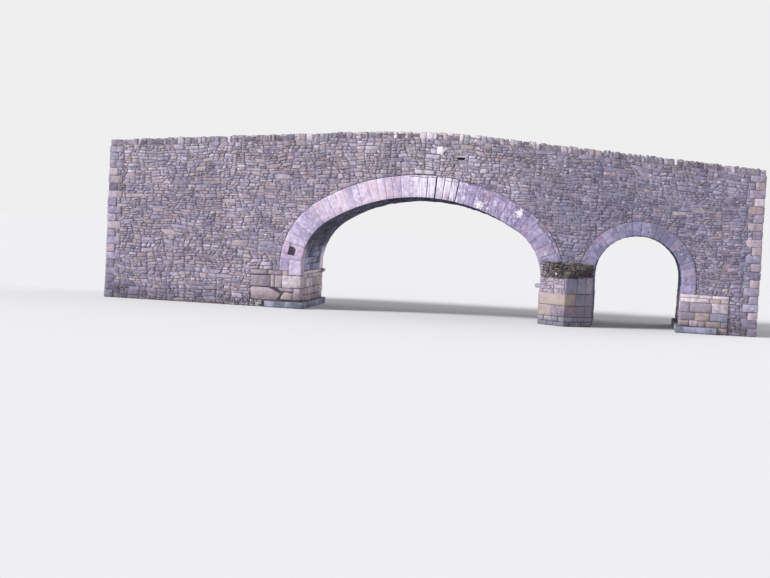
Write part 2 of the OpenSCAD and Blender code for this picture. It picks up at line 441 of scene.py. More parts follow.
def arch_corners(arch: ArchLine, along: Point, out: Point, across: Point) -> np.ndarray:
    """Corners of a block that follows an arch, from its ends, its depths and its Y places."""
    x, z = arch.at(*np.meshgrid(along, out, indexing="ij"))
    return np.stack(np.broadcast_arrays(x[..., None], across, z[..., None]), axis=-1)


class Bench:
    """The few steps of modelling by hand that the pieces here start or end with."""

    @staticmethod
    def clear() -> None:
        """Leaves nothing selected."""
        bpy.ops.object.select_all(action="DESELECT")

    @staticmethod
    def finish(piece: Piece) -> None:
        """Applies a piece's modifiers, smooths its blunt edges and lets it ride on the bridge.

        Args:
            piece: The piece.
        """
        Bench.clear()
        piece.select_set(True)
        bpy.context.view_layer.objects.active = piece
        for modifier in list(piece.modifiers):
            bpy.ops.object.modifier_apply(modifier=modifier.name)
        bpy.ops.object.shade_smooth_by_angle(angle=SMOOTH_ANGLE)
        Bench.clear()
        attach(piece, BODY)


@dataclass(frozen=True)
class Blank:
    """A stone modelled once by hand, which is cut to each bed that it is laid in."""

    points: np.ndarray
    corners: np.ndarray
    sizes: np.ndarray

    @classmethod
    def from_piece(cls, piece: Piece) -> Blank:
        """Takes the shape of a piece and removes the piece.

        Args:
            piece: The piece.

        Returns:
            The blank.
        """
        mesh = piece.data
        points = np.array([v.co for v in mesh.vertices], float)
        corners = np.array([i for p in mesh.polygons for i in p.vertices], int)
        sizes = np.array([len(p.vertices) for p in mesh.polygons], int)
        bpy.data.objects.remove(piece)
        bpy.data.meshes.remove(mesh)
        return cls(points, corners, sizes)

    def turned_corners(self) -> np.ndarray:
        """Corners of the faces in the other order, for a stone that is laid mirrored."""
        ends = zip(np.cumsum(self.sizes), self.sizes)
        return self.corners[np.concatenate([np.arange(e - 1, e - s - 1, -1) for e, s in ends])]


class RubbleBlank(Blank):
    """Many-sided flat stone for rubble: a rim, a worn edge and a slightly domed face."""

    SIDES = 10
    INSETS = (0.13, 0.3)
    RISES = (0.0, 1.0, 1.3, 1.4, 1.43)
    SHOWN = (0.0, 0.25, 0.8, 1.0, 1.0)
    KNOCK = (0.06, 0.42)
    LARGEST_KNOCK = 0.06
    WOBBLE = (0.94, 1.03)
    RIM = (0.2, 0.55)
    DOME = (0.0, 0.035)
    TILT = 0.05
    ROUGH = 0.12
    LEAST_STAND = 0.003

    @classmethod
    def modelled(cls) -> RubbleBlank:
        """Models the stone: a drum whose top is inset twice, raised and drawn to a point.

        Returns:
            The blank.
        """
        Bench.clear()
        bpy.ops.mesh.primitive_cylinder_add(
            vertices=cls.SIDES, radius=1.0, depth=1.0, location=(0, 0, 0.5), end_fill_type="NGON"
        )
        drum = bpy.context.active_object
        bpy.ops.object.transform_apply(location=True)
        bpy.ops.object.mode_set(mode="EDIT")
        bpy.ops.mesh.select_mode(type="FACE")
        mesh = bmesh.from_edit_mesh(drum.data)
        for face in mesh.faces:
            face.select_set(face.normal.z > 0.9)
        bmesh.update_edit_mesh(drum.data)
        for inset, low, high in zip(cls.INSETS, cls.RISES[1:], cls.RISES[2:]):
            bpy.ops.mesh.inset(thickness=inset)
            bpy.ops.transform.translate(value=(0, 0, high - low))
        bpy.ops.mesh.poke(offset=cls.RISES[4] - cls.RISES[3])
        bpy.ops.object.mode_set(mode="OBJECT")
        return cls.from_piece(drum)

    def outline(self, shape: Shape, rng: Chance) -> np.ndarray:
        """Spreads the sides of the blank round a shape, with its corners knocked off.

        Args:
            shape: Corners, anticlockwise, half as many as the blank has sides at most.
            rng: Source of chance.

        Returns:
            One point for each side of the blank.
        """
        count = len(shape)
        runs = [math.dist(a, b) for a, b in zip(shape, shape[1:] + shape[:1])]
        spare = [0] * count
        for _ in range(self.SIDES - 2 * count):
            spare[max(range(count), key=lambda i: runs[i] / (spare[i] + 1))] += 1
        points = []
        for i, corner in enumerate(shape):
            before, after = shape[i - 1], shape[(i + 1) % count]
            knock = min(rng.uniform(*self.KNOCK) * min(runs[i - 1], runs[i]), self.LARGEST_KNOCK)
            points.append(between(corner, before, knock / runs[i - 1]))
            points.append(between(corner, after, knock / runs[i]))
            points += [between(corner, after, (k + 1) / (spare[i] + 1)) for k in range(spare[i])]
        drawn = np.array(points)
        centre = drawn.mean(axis=0)
        return centre + (drawn - centre) * rng.uniform(*self.WOBBLE, (len(drawn), 1))

    def fitted(self, shape: Shape, out: Point, rng: Chance) -> tuple[np.ndarray, np.ndarray]:
        """Fits the stone to a shape.

        Args:
            shape: Its outline, anticlockwise.
            out: How far it reaches behind its plane, and how far it stands out.
            rng: Source of chance.

        Returns:
            The places of its points on the plane, and their heights over it.
        """
        embed, stand = out
        ring = self.outline(shape, rng)
        centre = ring.mean(axis=0)
        turn = np.arctan2(self.points[:, 1], self.points[:, 0]) * self.SIDES / (2 * math.pi)
        reach = np.hypot(self.points[:, 0], self.points[:, 1])
        flat = centre + (ring[np.round(turn).astype(int) % self.SIDES] - centre) * reach[:, None]
        rim = stand * rng.uniform(*self.RIM)
        shoulder = 0.35 * rim + 0.65 * stand
        crown = stand + math.sqrt(area(shape)) * rng.uniform(*self.DOME)
        rises = np.interp(self.points[:, 2], self.RISES, (-embed, rim, shoulder, stand, crown))
        tilt = (flat - centre) @ rng.uniform(-self.TILT, self.TILT, 2)
        tilt += rng.uniform(-self.ROUGH, self.ROUGH, len(flat)) * stand
        front = self.points[:, 2] > 0.5
        return flat, np.where(front, np.maximum(rises + tilt, self.LEAST_STAND), rises)


class BlockBlank(Blank):
    """Squared stone: a cube cut into strips, whose outer strips become its worn edges."""

    CORNER_WEAR = 0.5
    EDGE_WEAR = 0.32
    WIDEST_EDGE = 0.3

    @classmethod
    def modelled(cls, cuts: int) -> BlockBlank:
        """Models the stone.

        Args:
            cuts: Number of cuts across each face.

        Returns:
            The blank, whose points count their cuts.
        """
        Bench.clear()
        bpy.ops.mesh.primitive_cube_add(size=cuts + 1, location=[(cuts + 1) / 2] * 3)
        cube = bpy.context.active_object
        bpy.ops.object.transform_apply(location=True)
        bpy.ops.object.mode_set(mode="EDIT")
        bpy.ops.mesh.select_all(action="SELECT")
        bpy.ops.mesh.subdivide(number_cuts=cuts)
        bpy.ops.object.mode_set(mode="OBJECT")
        return cls.from_piece(cube)

    def outer(self) -> np.ndarray:
        """Number of the block's faces on which each point lies."""
        return ((self.points < 0.5) | (self.points > self.points.max() - 0.5)).sum(axis=1)

    def fitted(self, corners: np.ndarray, edge: float) -> np.ndarray:
        """Fits the stone to eight corners, with edges of the same wear all round.

        Args:
            corners: The corners, by their place along each of its three directions.
            edge: Width of its worn edges.

        Returns:
            Its points.
        """
        last = int(round(self.points.max()))
        steps = np.round(self.points).astype(int)
        at_corner, at_edge = self.outer() == 3, self.outer() == 2
        wear = np.select([at_corner, at_edge], [self.CORNER_WEAR, self.EDGE_WEAR], 0.0)
        shares = []
        for axis in range(3):
            low, high = np.moveaxis(corners, axis, 0)
            worn = min(edge / float(np.linalg.norm(high - low, axis=-1).mean()), self.WIDEST_EDGE)
            stops = np.concatenate([[0.0], np.linspace(worn, 1 - worn, last - 1), [1.0]])
            ends = (steps[:, axis] == 0) * 1.0 - (steps[:, axis] == last)
            share = stops[steps[:, axis]] + ends * wear * worn
            shares.append(np.stack([1 - share, share]))
        return np.einsum("in,jn,kn,ijkc->nc", *shares, corners)


@dataclass(frozen=True)
class MasonKit:
    """The blanks from which all stones are cut."""

    rubble: RubbleBlank
    plain: BlockBlank
    fine: BlockBlank
    finest: BlockBlank

    @classmethod
    @cache
    def modelled(cls) -> MasonKit:
        """Models the blanks, once for all pieces."""
        return cls(RubbleBlank.modelled(), *(BlockBlank.modelled(cuts) for cuts in (2, 4, 6)))


@dataclass(frozen=True)
class Tint:
    """Colour of one stone: how pale and how warm it is, and how much lichen grows on it."""

    pale: float
    warm: float
    lichen: float = 0.2

    def varied(self, rng: Chance, pale: float = 0.13, warm: float = 0.28) -> Tint:
        """Varies the colour from stone to stone.

        Args:
            rng: Source of chance.
            pale: Spread of how pale the stones are.
            warm: Spread of how warm they are.

        Returns:
            The colour of one stone.
        """
        return Tint(
            float(np.clip(self.pale + rng.normal(0, pale), 0.02, 1)),
            float(np.clip(self.warm + rng.normal(0, warm), 0, 1)),
            float(np.clip(self.lichen * rng.uniform(0.5, 1.35), 0, 1)),
        )


@dataclass
class StoneHeap:
    """Stones that are laid one after another and become one piece."""

    name: str
    seed: int
    kit: MasonKit = field(default_factory=MasonKit.modelled)
    points: list[np.ndarray] = field(default_factory=list)
    corners: list[np.ndarray] = field(default_factory=list)
    sizes: list[np.ndarray] = field(default_factory=list)
    tints: list[np.ndarray] = field(default_factory=list)
    total: int = 0

    ROUGHNESS = (("broad", 0.22), ("fine", 0.05))
    SMALLEST_AREA = 0.001
    SHORTEST_SIDE = 0.014

    def __post_init__(self) -> None:
        """Starts the heap's own source of chance."""
        self.rng = np.random.default_rng(self.seed)

    def lay(self, blank: Blank, laid: np.ndarray, mirrored: bool, tint: Tint, shown: np.ndarray) -> None:
        """Adds one stone.

        Args:
            blank: The blank that it is cut from.
            laid: Its points in the scene.
            mirrored: Whether they came out inside out.
            tint: Its colour.
            shown: For each point, 1 on a face and 0 at an edge.
        """
        self.points.append(laid)
        self.corners.append((blank.turned_corners() if mirrored else blank.corners) + self.total)
        self.sizes.append(blank.sizes)
        shade = np.tile((tint.pale, tint.warm, 0.0, tint.lichen), (len(laid), 1))
        shade[:, 2] = shown
        self.tints.append(shade)
        self.total += len(laid)

    def rubble(self, plane: Plane, shape: Shape, stand: float, tint: Tint, embed: float = 0.03) -> None:
        """Cuts a rubble stone to a shape on a plane and lays it.

        Args:
            plane: The face of the wall.
            shape: Its outline, anticlockwise, joints already taken off.
            stand: How far it stands out of the plane.
            tint: Its colour.
            embed: How far it reaches behind the plane.
        """
        blank = self.kit.rubble
        simple = without_slivers(shape, self.SHORTEST_SIDE, blank.SIDES // 2)
        if len(simple) < 3 or area(simple) < self.SMALLEST_AREA:
            return
        flat, out = blank.fitted(simple, (embed, stand), self.rng)
        shown = np.interp(blank.points[:, 2], blank.RISES, blank.SHOWN)
        self.lay(blank, plane.world(flat, out), plane.mirrored, tint, shown)

    def block(
        self, corners: np.ndarray, tint: Tint, edge: float, skew: float, blank: BlockBlank | None = None
    ) -> None:
        """Cuts a squared stone to eight corners and lays it.

        Args:
            corners: Its corners.
            tint: Its colour.
            edge: Width of its worn edges.
            skew: How far its corners are out of place.
            blank: The blank that it is cut from, the fine one unless another is named.
        """
        blank = blank or self.kit.fine
        moved = corners + self.rng.uniform(-skew, skew, corners.shape)
        edges = [corners[1, 0, 0], corners[0, 1, 0], corners[0, 0, 1]] - corners[0, 0, 0]
        shown = np.where(blank.outer() >= 2, 0.2, 1.0)
        self.lay(blank, blank.fitted(moved, edge), np.linalg.det(edges) < 0, tint, shown)

    def slab(
        self, plane: Plane, spot: Sequence[Point], tint: Tint, stand: float, deep: float, edge: float = 0.02
    ) -> None:
        """Lays a squared stone on a plane.

        Args:
            plane: The face of the wall.
            spot: Its lowest and its highest corner on the plane.
            tint: Its colour.
            stand: How far it stands out of the plane.
            deep: How far it reaches behind the plane.
            edge: Width of its worn edges.
        """
        low, high = spot
        start = plane.world(np.array([low]), np.array([stand]))[0]
        across, up, out = np.array([plane.across, plane.up, plane.out])
        runs = across * (high[0] - low[0]), up * (high[1] - low[1]), -out * (deep + stand)
        self.block(box_corners(start, *runs), tint, edge, 0.4 * edge)

    def piece(self, finish: Finish, *heights: float) -> Piece:
        """Makes the piece, roughens it and gives it its finish.

        Args:
            finish: The finish.
            heights: Heights of the broad and of the fine roughness.

        Returns:
            The piece, which rides on the bridge.
        """
        mesh = bpy.data.meshes.new(self.name)
        corners, sizes = np.concatenate(self.corners), np.concatenate(self.sizes)
        mesh.vertices.add(self.total)
        mesh.vertices.foreach_set("co", np.concatenate(self.points).astype(np.float32).ravel())
        mesh.loops.add(len(corners))
        mesh.loops.foreach_set("vertex_index", corners.astype(np.int32))
        mesh.polygons.add(len(sizes))
        mesh.polygons.foreach_set("loop_start", (np.cumsum(sizes) - sizes).astype(np.int32))
        mesh.update(calc_edges=True)
        stone = mesh.color_attributes.new("stone", "FLOAT_COLOR", "POINT")
        stone.data.foreach_set("color", np.concatenate(self.tints).astype(np.float32).ravel())
        piece = bpy.data.objects.new(self.name, mesh)
        bpy.context.scene.collection.objects.link(piece)
        for (label, scale), height in zip(self.ROUGHNESS, heights):
            weather = bpy.data.textures.new(f"{self.name}_{label}", "CLOUDS")
            weather.noise_scale = scale
            weather.noise_depth = 2
            modifier = piece.modifiers.new(label, "DISPLACE")
            modifier.texture = weather
            modifier.texture_coords = "LOCAL"
            modifier.mid_level = 0.5
            modifier.strength = height
        Bench.finish(piece)
        finish.dress(piece)
        return piece


@dataclass
class RubbleWall:
    """Random rubble on a plane: staggered panels that are split into stones by chance."""

    heap: StoneHeap
    plane: Plane
    left: float
    right: float
    low: float
    high: float
    tint: Callable[[float, float], Tint]
    cuts: Sequence[Cut] = ()
    base: Callable[[float, float], float] = lambda x, z: 0.0
    panel_w: Point = (1.0, 2.2)
    panel_h: Point = (0.4, 0.66)
    shortest_panel: Point = (0.4, 0.3)
    tallest: float = 0.24
    shortest: float = 0.2
    joint: Point = (0.003, 0.009)
    stand: Point = (0.008, 0.034)
    spread: Point = (0.13, 0.28)

    def split(self, bed: Shape) -> Iterator[Shape]:
        """Splits a panel into the beds of single stones, with cuts that slant a little.

        Args:
            bed: Its corners: foot left, foot right, head right and head left.

        Yields:
            The outline of each bed.
        """
        rng = self.heap.rng
        a, b, c, d = bed
        wide = (b[0] - a[0] + c[0] - d[0]) / 2
        tall = (d[1] - a[1] + c[1] - b[1]) / 2
        share = rng.uniform(0.34, 0.66)
        slant = rng.uniform(-0.07, 0.07)
        if wide > max(rng.uniform(1.8, 4.6) * tall, self.shortest):
            low, high = between(a, b, share - slant), between(d, c, share + slant)
            yield from self.split([a, low, high, d])
            yield from self.split([low, b, c, high])
        elif tall > self.tallest * rng.uniform(0.7, 1.1) or (tall > 0.12 and rng.random() < 0.12):
            near, far = between(a, d, share - slant), between(b, c, share + slant)
            yield from self.split([a, b, far, near])
            yield from self.split([near, far, c, d])
        else:
            yield bed

    def beds(self) -> Iterator[Shape]:
        """Goes through the beds of the whole wall, waved all together.

        Yields:
            The outline of each bed.
        """
        rng = self.heap.rng
        phase = rng.uniform(0, WHOLE_TURN, 6)
        for z, tall in stretches(self.low, self.high, self.panel_h, rng, self.shortest_panel[1]):
            for x, wide in stretches(self.left, self.right, self.panel_w, rng, self.shortest_panel[0]):
                for bed in self.split([(x, z), (x + wide, z), (x + wide, z + tall), (x, z + tall)]):
                    yield [self.waved(*corner, phase) for corner in bed]

    def waved(self, x: float, z: float, phase: np.ndarray) -> Point:
        """Moves a corner with the waves of the courses, and a little on its own.

        Args:
            x: Its station.
            z: Its height.
            phase: Starts of the waves.

        Returns:
            The moved corner.
        """
        over = 0.022 * math.sin(3.3 * z + 0.9 * x + phase[0])
        over += 0.012 * math.sin(9.7 * z - 2.6 * x + phase[1])
        rise = 0.03 * math.sin(1.7 * x + 1.1 * z + phase[2])
        rise += 0.018 * math.sin(4.7 * x - 2.1 * z + phase[3])
        rise += 0.009 * math.sin(12.3 * x + 3.7 * z + phase[4])
        shift = self.heap.rng.uniform(-0.007, 0.007, 2)
        return x + over + shift[0], z + rise + shift[1] + self.base(x, z)

    def lay(self) -> None:
        """Lays every stone of the wall."""
        rng = self.heap.rng
        for shape in self.beds():
            for cut in self.cuts:
                shape = cut(shape) if area(shape) > 2 * self.heap.SMALLEST_AREA else []
            shape = shrunk(shape, rng.uniform(*self.joint))
            if area(shape) > self.heap.SMALLEST_AREA:
                tint = self.tint(*middle(shape)).varied(rng, *self.spread)
                self.heap.rubble(self.plane, shape, rng.uniform(*self.stand), tint)


@dataclass(frozen=True)
class Course:
    """One course of squared stones: its foot and head, and the lengths of its stones."""

    foot: float
    head: float
    lengths: Point
    edge: float = 0.016
    stand: Point = (0.012, 0.026)
    spread: float = 0.28


@dataclass
class BlockWork:
    """Squared stones along a foot line, with a stone of two faces on each of its corners.

    The line is walked with the masonry on its left. Its corners may have any angle.
    """

    heap: StoneHeap
    line: Sequence[Point]
    courses: Sequence[Course]
    tint: Callable[[float, float, float], Tint]
    closed: bool = False
    depth: float = 0.16
    joint: float = 0.006
    quoin: Point = (0.26, 0.5)
    fixed: dict[int, Point] = field(default_factory=dict)

    def lay(self) -> None:
        """Lays all courses."""
        for number, course in enumerate(self.courses):
            self.lay_faces(course, self.lay_corners(course, number))

    def stone(self, course: Course, start: np.ndarray, *runs: np.ndarray) -> None:
        """Lays one stone of a course.

        Args:
            course: The course.
            start: The corner of its foot from which the runs start.
            runs: Its two level edges.
        """
        foot = course.foot + self.joint / 2
        rise = (0.0, 0.0, course.head - course.foot - self.joint)
        corners = box_corners([*start, foot], *([*run, 0.0] for run in runs), rise)
        tint = self.tint(float(start[0]), float(start[1]), (course.foot + course.head) / 2)
        tint = tint.varied(self.heap.rng, 0.45 * course.spread, course.spread)
        self.heap.block(corners, tint, course.edge, 0.007)

    def lay_corners(self, course: Course, number: int) -> dict[tuple[int, str], float]:
        """Lays the corner stones of a course.

        Args:
            course: The course.
            number: Its number from the foot, which decides which side of a corner is long.

        Returns:
            How far each corner stone reaches back and ahead.
        """
        rng = self.heap.rng
        reach = {}
        points = [np.array(p) for p in self.line]
        for i, corner in enumerate(points):
            if not self.closed and i in (0, len(points) - 1):
                continue
            sides = [points[i - 1] - corner, points[(i + 1) % len(points)] - corner]
            spans = [float(np.linalg.norm(side)) for side in sides]
            back, ahead = (side / span for side, span in zip(sides, spans))
            chance = [self.quoin[(number + i + k) % 2] * rng.uniform(0.85, 1.15) for k in range(2)]
            runs = self.fixed.get(i, [min(run, 0.45 * span) for run, span in zip(chance, spans)])
            reach[(i, "back")], reach[(i, "ahead")] = runs
            if not any(runs):
                continue
            stand = rng.uniform(*course.stand)
            normals = np.array([-back[1], back[0]]), np.array([ahead[1], -ahead[0]])
            tip = corner + stand * sum(normals) / (1 + float(normals[0] @ normals[1]))
            self.stone(course, tip, back * (runs[0] + stand), ahead * (runs[1] + stand))
        return reach

    def lay_faces(self, course: Course, reach: dict[tuple[int, str], float]) -> None:
        """Lays the stones between the corners of a course.

        Args:
            course: The course.
            reach: How far the corner stones reach.
        """
        rng = self.heap.rng
        points = [np.array(p) for p in self.line]
        for i in range(len(points) if self.closed else len(points) - 1):
            after = (i + 1) % len(points)
            span = float(np.linalg.norm(points[after] - points[i]))
            along = (points[after] - points[i]) / span
            out = np.array([along[1], -along[0]])
            limits = reach.get((i, "ahead"), 0.0), span - reach.get((after, "back"), 0.0)
            for start, length in stretches(*limits, course.lengths, rng, course.lengths[0] * 0.7):
                origin = points[i] + along * (start + self.joint / 2) + out * rng.uniform(*course.stand)
                self.stone(course, origin, along * (length - self.joint), -out * self.depth)


@dataclass
class Walls:
    """Spandrels, wing walls and parapets of one face, and the inner side of its parapet."""

    face: Face
    drain: Point = (1.19, 0.115)
    drain_h: float = 0.08
    level_to: float = 2.4
    ring_gap: float = 0.004
    odd_stones: Sequence[tuple[Point, Point, Tint, float]] = (
        ((-0.32, 0.75), (0.34, 0.89), Tint(0.8, 0.7, 0.1), 0.06),
        ((0.38, 1.44), (0.6, 1.69), Tint(1.0, 0.4, 1.0), 0.03),
    )

    def tint(self, x: float, z: float) -> Tint:
        """Colour of the rubble: paler near the crown of the main arch, duller and darker to the right, partly
        the stone's own tone and partly painted shade of the trees.

        Args:
            x: Station of the stone.
            z: Its height.

        Returns:
            The colour there.
        """
        over = x - MAIN_ARCH.centre_x
        # Darker to the right: partly the stone's own tone, partly painted shade of the trees.
        pale = graded(over, (-11, 0.44), (-0.5, 0.56), (1.5, 0.56), (3.0, 0.42), (4.6, 0.08), (11, 0.3))
        warm = graded(over, (-11, 0.5), (0, 0.55), (2.5, 0.45), (4.5, 0.04), (11, 0.3))
        if self.face is Face.BACK:
            pale, warm = 0.46, 0.48
        pale -= 0.12 * math.exp(-max(z, 0.0) / 0.7)
        return Tint(pale, warm, graded(z, (0.3, 0.1), (2.5, 0.3), (5.0, 0.55)))

    def follow(self, x: float, z: float) -> float:
        """Bends the courses from level ones at the foot to ones that follow the road."""
        share = min(max((z - self.level_to) / (SIZES.road_z - self.level_to), 0.0), 1.0)
        return share * (ROAD.height(x) - SIZES.road_z)

    def beside_quoins(self, shape: Shape) -> Shape:
        """Keeps a stone off the corner stones at the two ends of the bridge."""
        reach = EndWall.reach(middle(shape)[1], 0) + EndWall.GAP
        return within(shape, SIZES.left_end + reach, SIZES.right_end - reach)

    def openings(self) -> list[Cut]:
        """Lists the cuts round everything that is let into this face.

        Returns:
            The cuts.
        """
        drain_x = MAIN_ARCH.centre_x + self.drain[0]
        drain_z = ROAD.height(drain_x)
        low = (drain_x - self.drain[1], drain_z - 0.01)
        high = (drain_x + self.drain[1], drain_z + self.drain_h)
        bottom, springing = (SIZES.left_abutment, -1.0), (SIZES.right_abutment, SIZES.spring_z)
        return [
            over_floor,
            partial(outside_box, low=bottom, high=springing),
            partial(outside_ring, arch=MAIN_ARCH, depth=SIZES.main_ring + self.ring_gap),
            partial(outside_ring, arch=SIDE_ARCH, depth=SIZES.side_ring + self.ring_gap),
            partial(outside_box, low=low, high=high),
            self.beside_quoins,
        ]

    def build(self) -> list[Piece]:
        """Lays the face.

        Returns:
            Its pieces.
        """
        out = self.face.value
        outer = long_plane(out * SIZES.face_y, out)
        inner = long_plane(out * SIZES.parapet_y, -out)
        head = SIZES.road_z + SIZES.parapet_h
        fine = {"tallest": 0.19, "shortest": 0.15} if self.face is Face.FRONT else {}
        cuts = self.openings()
        odd = [partial(outside_box, low=low, high=high) for low, high in self.odd_places()]
        pieces = []
        for number, (side, x0, x1) in enumerate(HALVES):
            name, seed = f"{self.face.word}_{side}", 30 + 10 * out + number
            limits = [partial(within, left=x0, right=x1), *cuts]
            wall = StoneHeap(f"{name}_wall_stones", seed)
            span = (outer, x0, x1, 0.0, head)
            RubbleWall(wall, *span, self.tint, [*limits, *odd], self.follow, **fine).lay()
            if self.face is Face.FRONT and side == "right":
                self.lay_odd(wall, outer)
            pieces.append(wall.piece(Finish.RUBBLE, 0.014, 0.008))
            lining = StoneHeap(f"{name}_parapet_lining", seed + 30)
            span = (inner, x0, x1, SIZES.road_z, head)
            RubbleWall(lining, *span, self.tint, limits, self.follow, panel_h=(0.6, 0.7)).lay()
            pieces.append(lining.piece(Finish.RUBBLE, 0.012, 0.006))
        return pieces

    def odd_places(self) -> list[list[Point]]:
        """Lowest and highest corners of the odd stones, which only the front has."""
        odd, start = self.odd_stones, np.array((MAIN_ARCH.centre_x, MAIN_ARCH.top_z))
        return [[tuple(start + p) for p in stone[:2]] for stone in odd if self.face is Face.FRONT]

    def lay_odd(self, heap: StoneHeap, plane: Plane) -> None:
        """Lays the ledge and the white stone over the crown, the sill of the drain, and a dark block sunk in
        the drain as painted shade.

        Args:
            heap: Where they are laid.
            plane: The face of the wall.
        """
        for place, (*_, tint, stand) in zip(self.odd_places(), self.odd_stones):
            heap.slab(plane, place, tint, stand, 0.14)
        drain_x = MAIN_ARCH.centre_x + self.drain[0]
        foot, half = ROAD.height(drain_x), self.drain[1]
        head = foot + self.drain_h
        sill = (drain_x - half - 0.05, head), (drain_x + half + 0.06, head + 0.045)
        heap.slab(plane, sill, Tint(0.8, 0.5, 0.3), 0.034, 0.14, 0.012)
        # A dark block sunk deep in the drain is painted shade of its throat.
        drain_shade_block = (drain_x - half, foot - 0.01), (drain_x + half, foot + 0.9 * self.drain_h)
        heap.slab(plane, drain_shade_block, Tint(0.0, 0.5, 0.0), -0.2, 0.3, 0.01)


@dataclass
class EndWall:
    """Plain end of the bridge, with corner stones up both its corners."""

    heap: StoneHeap
    x: float
    out: float

    COURSE = 0.26
    REACHES = (0.28, 0.46)
    GAP = 0.02

    @classmethod
    def reach(cls, z: float, turn: int) -> float:
        """How far the corner stones reach at a height, along a face or across an end."""
        return cls.REACHES[(int(max(z, 0.0) / cls.COURSE) + turn) % 2]

    def between_quoins(self, shape: Shape) -> Shape:
        """Keeps a stone of the end wall off the corner stones beside it."""
        reach = SIZES.face_y - self.reach(middle(shape)[1], 1) - self.GAP
        return within(shape, -reach, reach)

    def build(self) -> list[Piece]:
        """Lays the end.

        Returns:
            Its piece.
        """
        plane = Plane((self.x, 0.0, 0.0), (0.0, 1.0, 0.0), (0.0, 0.0, 1.0), (self.out, 0.0, 0.0))
        road = ROAD.height(self.x)
        span = (-SIZES.face_y, SIZES.face_y, 0.0, road)
        cuts = [over_floor, self.between_quoins]
        RubbleWall(self.heap, plane, *span, lambda u, v: Tint(0.44, 0.48, 0.3), cuts).lay()
        top = road + SIZES.parapet_h
        count = round(top / self.COURSE)
        for number in range(count):
            foot = number * self.COURSE
            head = top if number == count - 1 else foot + self.COURSE
            along, across = (self.reach(foot + self.COURSE / 2, turn) for turn in (0, 1))
            if foot > road - 0.2:
                across = SIZES.face_y - SIZES.parapet_y
            for side in (-1.0, 1.0):
                self.corner_stone(side, (along, across), (foot, head))
        return [self.heap.piece(Finish.RUBBLE, 0.014, 0.007)]

    def corner_stone(self, side: float, reach: Point, span: Point) -> None:
        """Lays one corner stone.

        Args:
            side: Side of the bridge.
            reach: How far the stone runs along the face and across the end.
            span: Its foot and its head.
        """
        stand = self.heap.rng.uniform(0.014, 0.034)
        tip = (self.x + self.out * stand, side * (SIZES.face_y + stand), span[0] + 0.004)
        along, across = (reach[0] + stand) * -self.out, (reach[1] + stand) * -side
        corners = box_corners(tip, (along, 0, 0), (0, across, 0), (0, 0, span[1] - span[0] - 0.008))
        self.heap.block(corners, Tint(0.5, 0.5, 0.35).varied(self.heap.rng), 0.02, 0.01)


@dataclass
class ArchRing:
    """Ring stones of one face of an arch."""

    heap: StoneHeap
    arch: ArchLine
    depth: float
    face: Face
    tint: Callable[[float], Tint]
    widths: Point = (0.2, 0.32)
    springer: float = 0.35
    joint: Point = (0.001, 0.003)
    edge: float = 0.01
    bed: float = 0.008
    ragged: Callable[[float], float] = lambda over: 0.03

    def marks(self) -> list[Point]:
        """Places of the joints along the line, each with half its width.

        Returns:
            The joints, from the left springing to the right one.
        """
        rng = self.heap.rng
        fixed = [(0.0, 0.0), *self.known(), (self.arch.length, 0.0)]
        joints = [fixed[0]]
        for (a, _), (b, half) in zip(fixed, fixed[1:]):
            count = round((b - a) / (sum(self.widths) / 2)) if b - a > 1.4 * self.widths[1] else 1
            cuts = np.cumsum(rng.uniform(*self.widths, count))
            joints += [(a + (b - a) * cut / cuts[-1], rng.uniform(*self.joint)) for cut in cuts[:-1]]
            joints.append((b, half))
        return joints

    def known(self) -> list[Point]:
        """Joints whose places are given, each with half its width."""
        return [(self.springer, 0.002), (self.arch.length - self.springer, 0.002)]

    def stone(self, along: Point, out: Point, tint: Tint, stand: Point = (0.012, 0.02)) -> None:
        """Lays one ring stone.

        Args:
            along: Where it starts and ends along the line.
            out: Its depths in the masonry.
            tint: Its colour.
            stand: Least and most that it stands out of the ring.
        """
        side = self.face.value
        across = (side * (SIZES.proud_y + self.heap.rng.uniform(*stand)), side * SIZES.inner_y)
        corners = arch_corners(self.arch, along, out, across)
        blank = self.heap.kit.finest if self.face is Face.FRONT else None
        self.heap.block(corners, tint, self.edge, 0.003, blank)

    def full_stone(self, along: Point, deep: float, tint: Tint) -> None:
        """Lays a stone of the whole depth of the ring."""
        self.stone(along, (-self.bed, deep), tint)

    def build(self) -> list[Piece]:
        """Lays the ring.

        Returns:
            Its piece.
        """
        marks = self.marks()
        for (start, gap), (end, late) in zip(marks, marks[1:]):
            over = self.arch.station((start + end) / 2)
            along = (start + gap, end - late)
            tint = self.tint(over).varied(self.heap.rng, 0.07, 0.12)
            deep = self.depth - self.heap.rng.uniform(0, self.ragged(over))
            self.full_stone(along, deep, tint)
            if self.depth - deep > 0.035:
                # The short stones behind the ragged edge are darker: painted shadow in the gaps of the ragged
                # outer edge.
                filler = replace(tint, pale=tint.pale - 0.2, lichen=0.3)
                self.stone(along, (deep + self.bed, self.depth), filler, (0.0, 0.01))
        return [self.heap.piece(Finish.RING, 0.01, 0.005)]


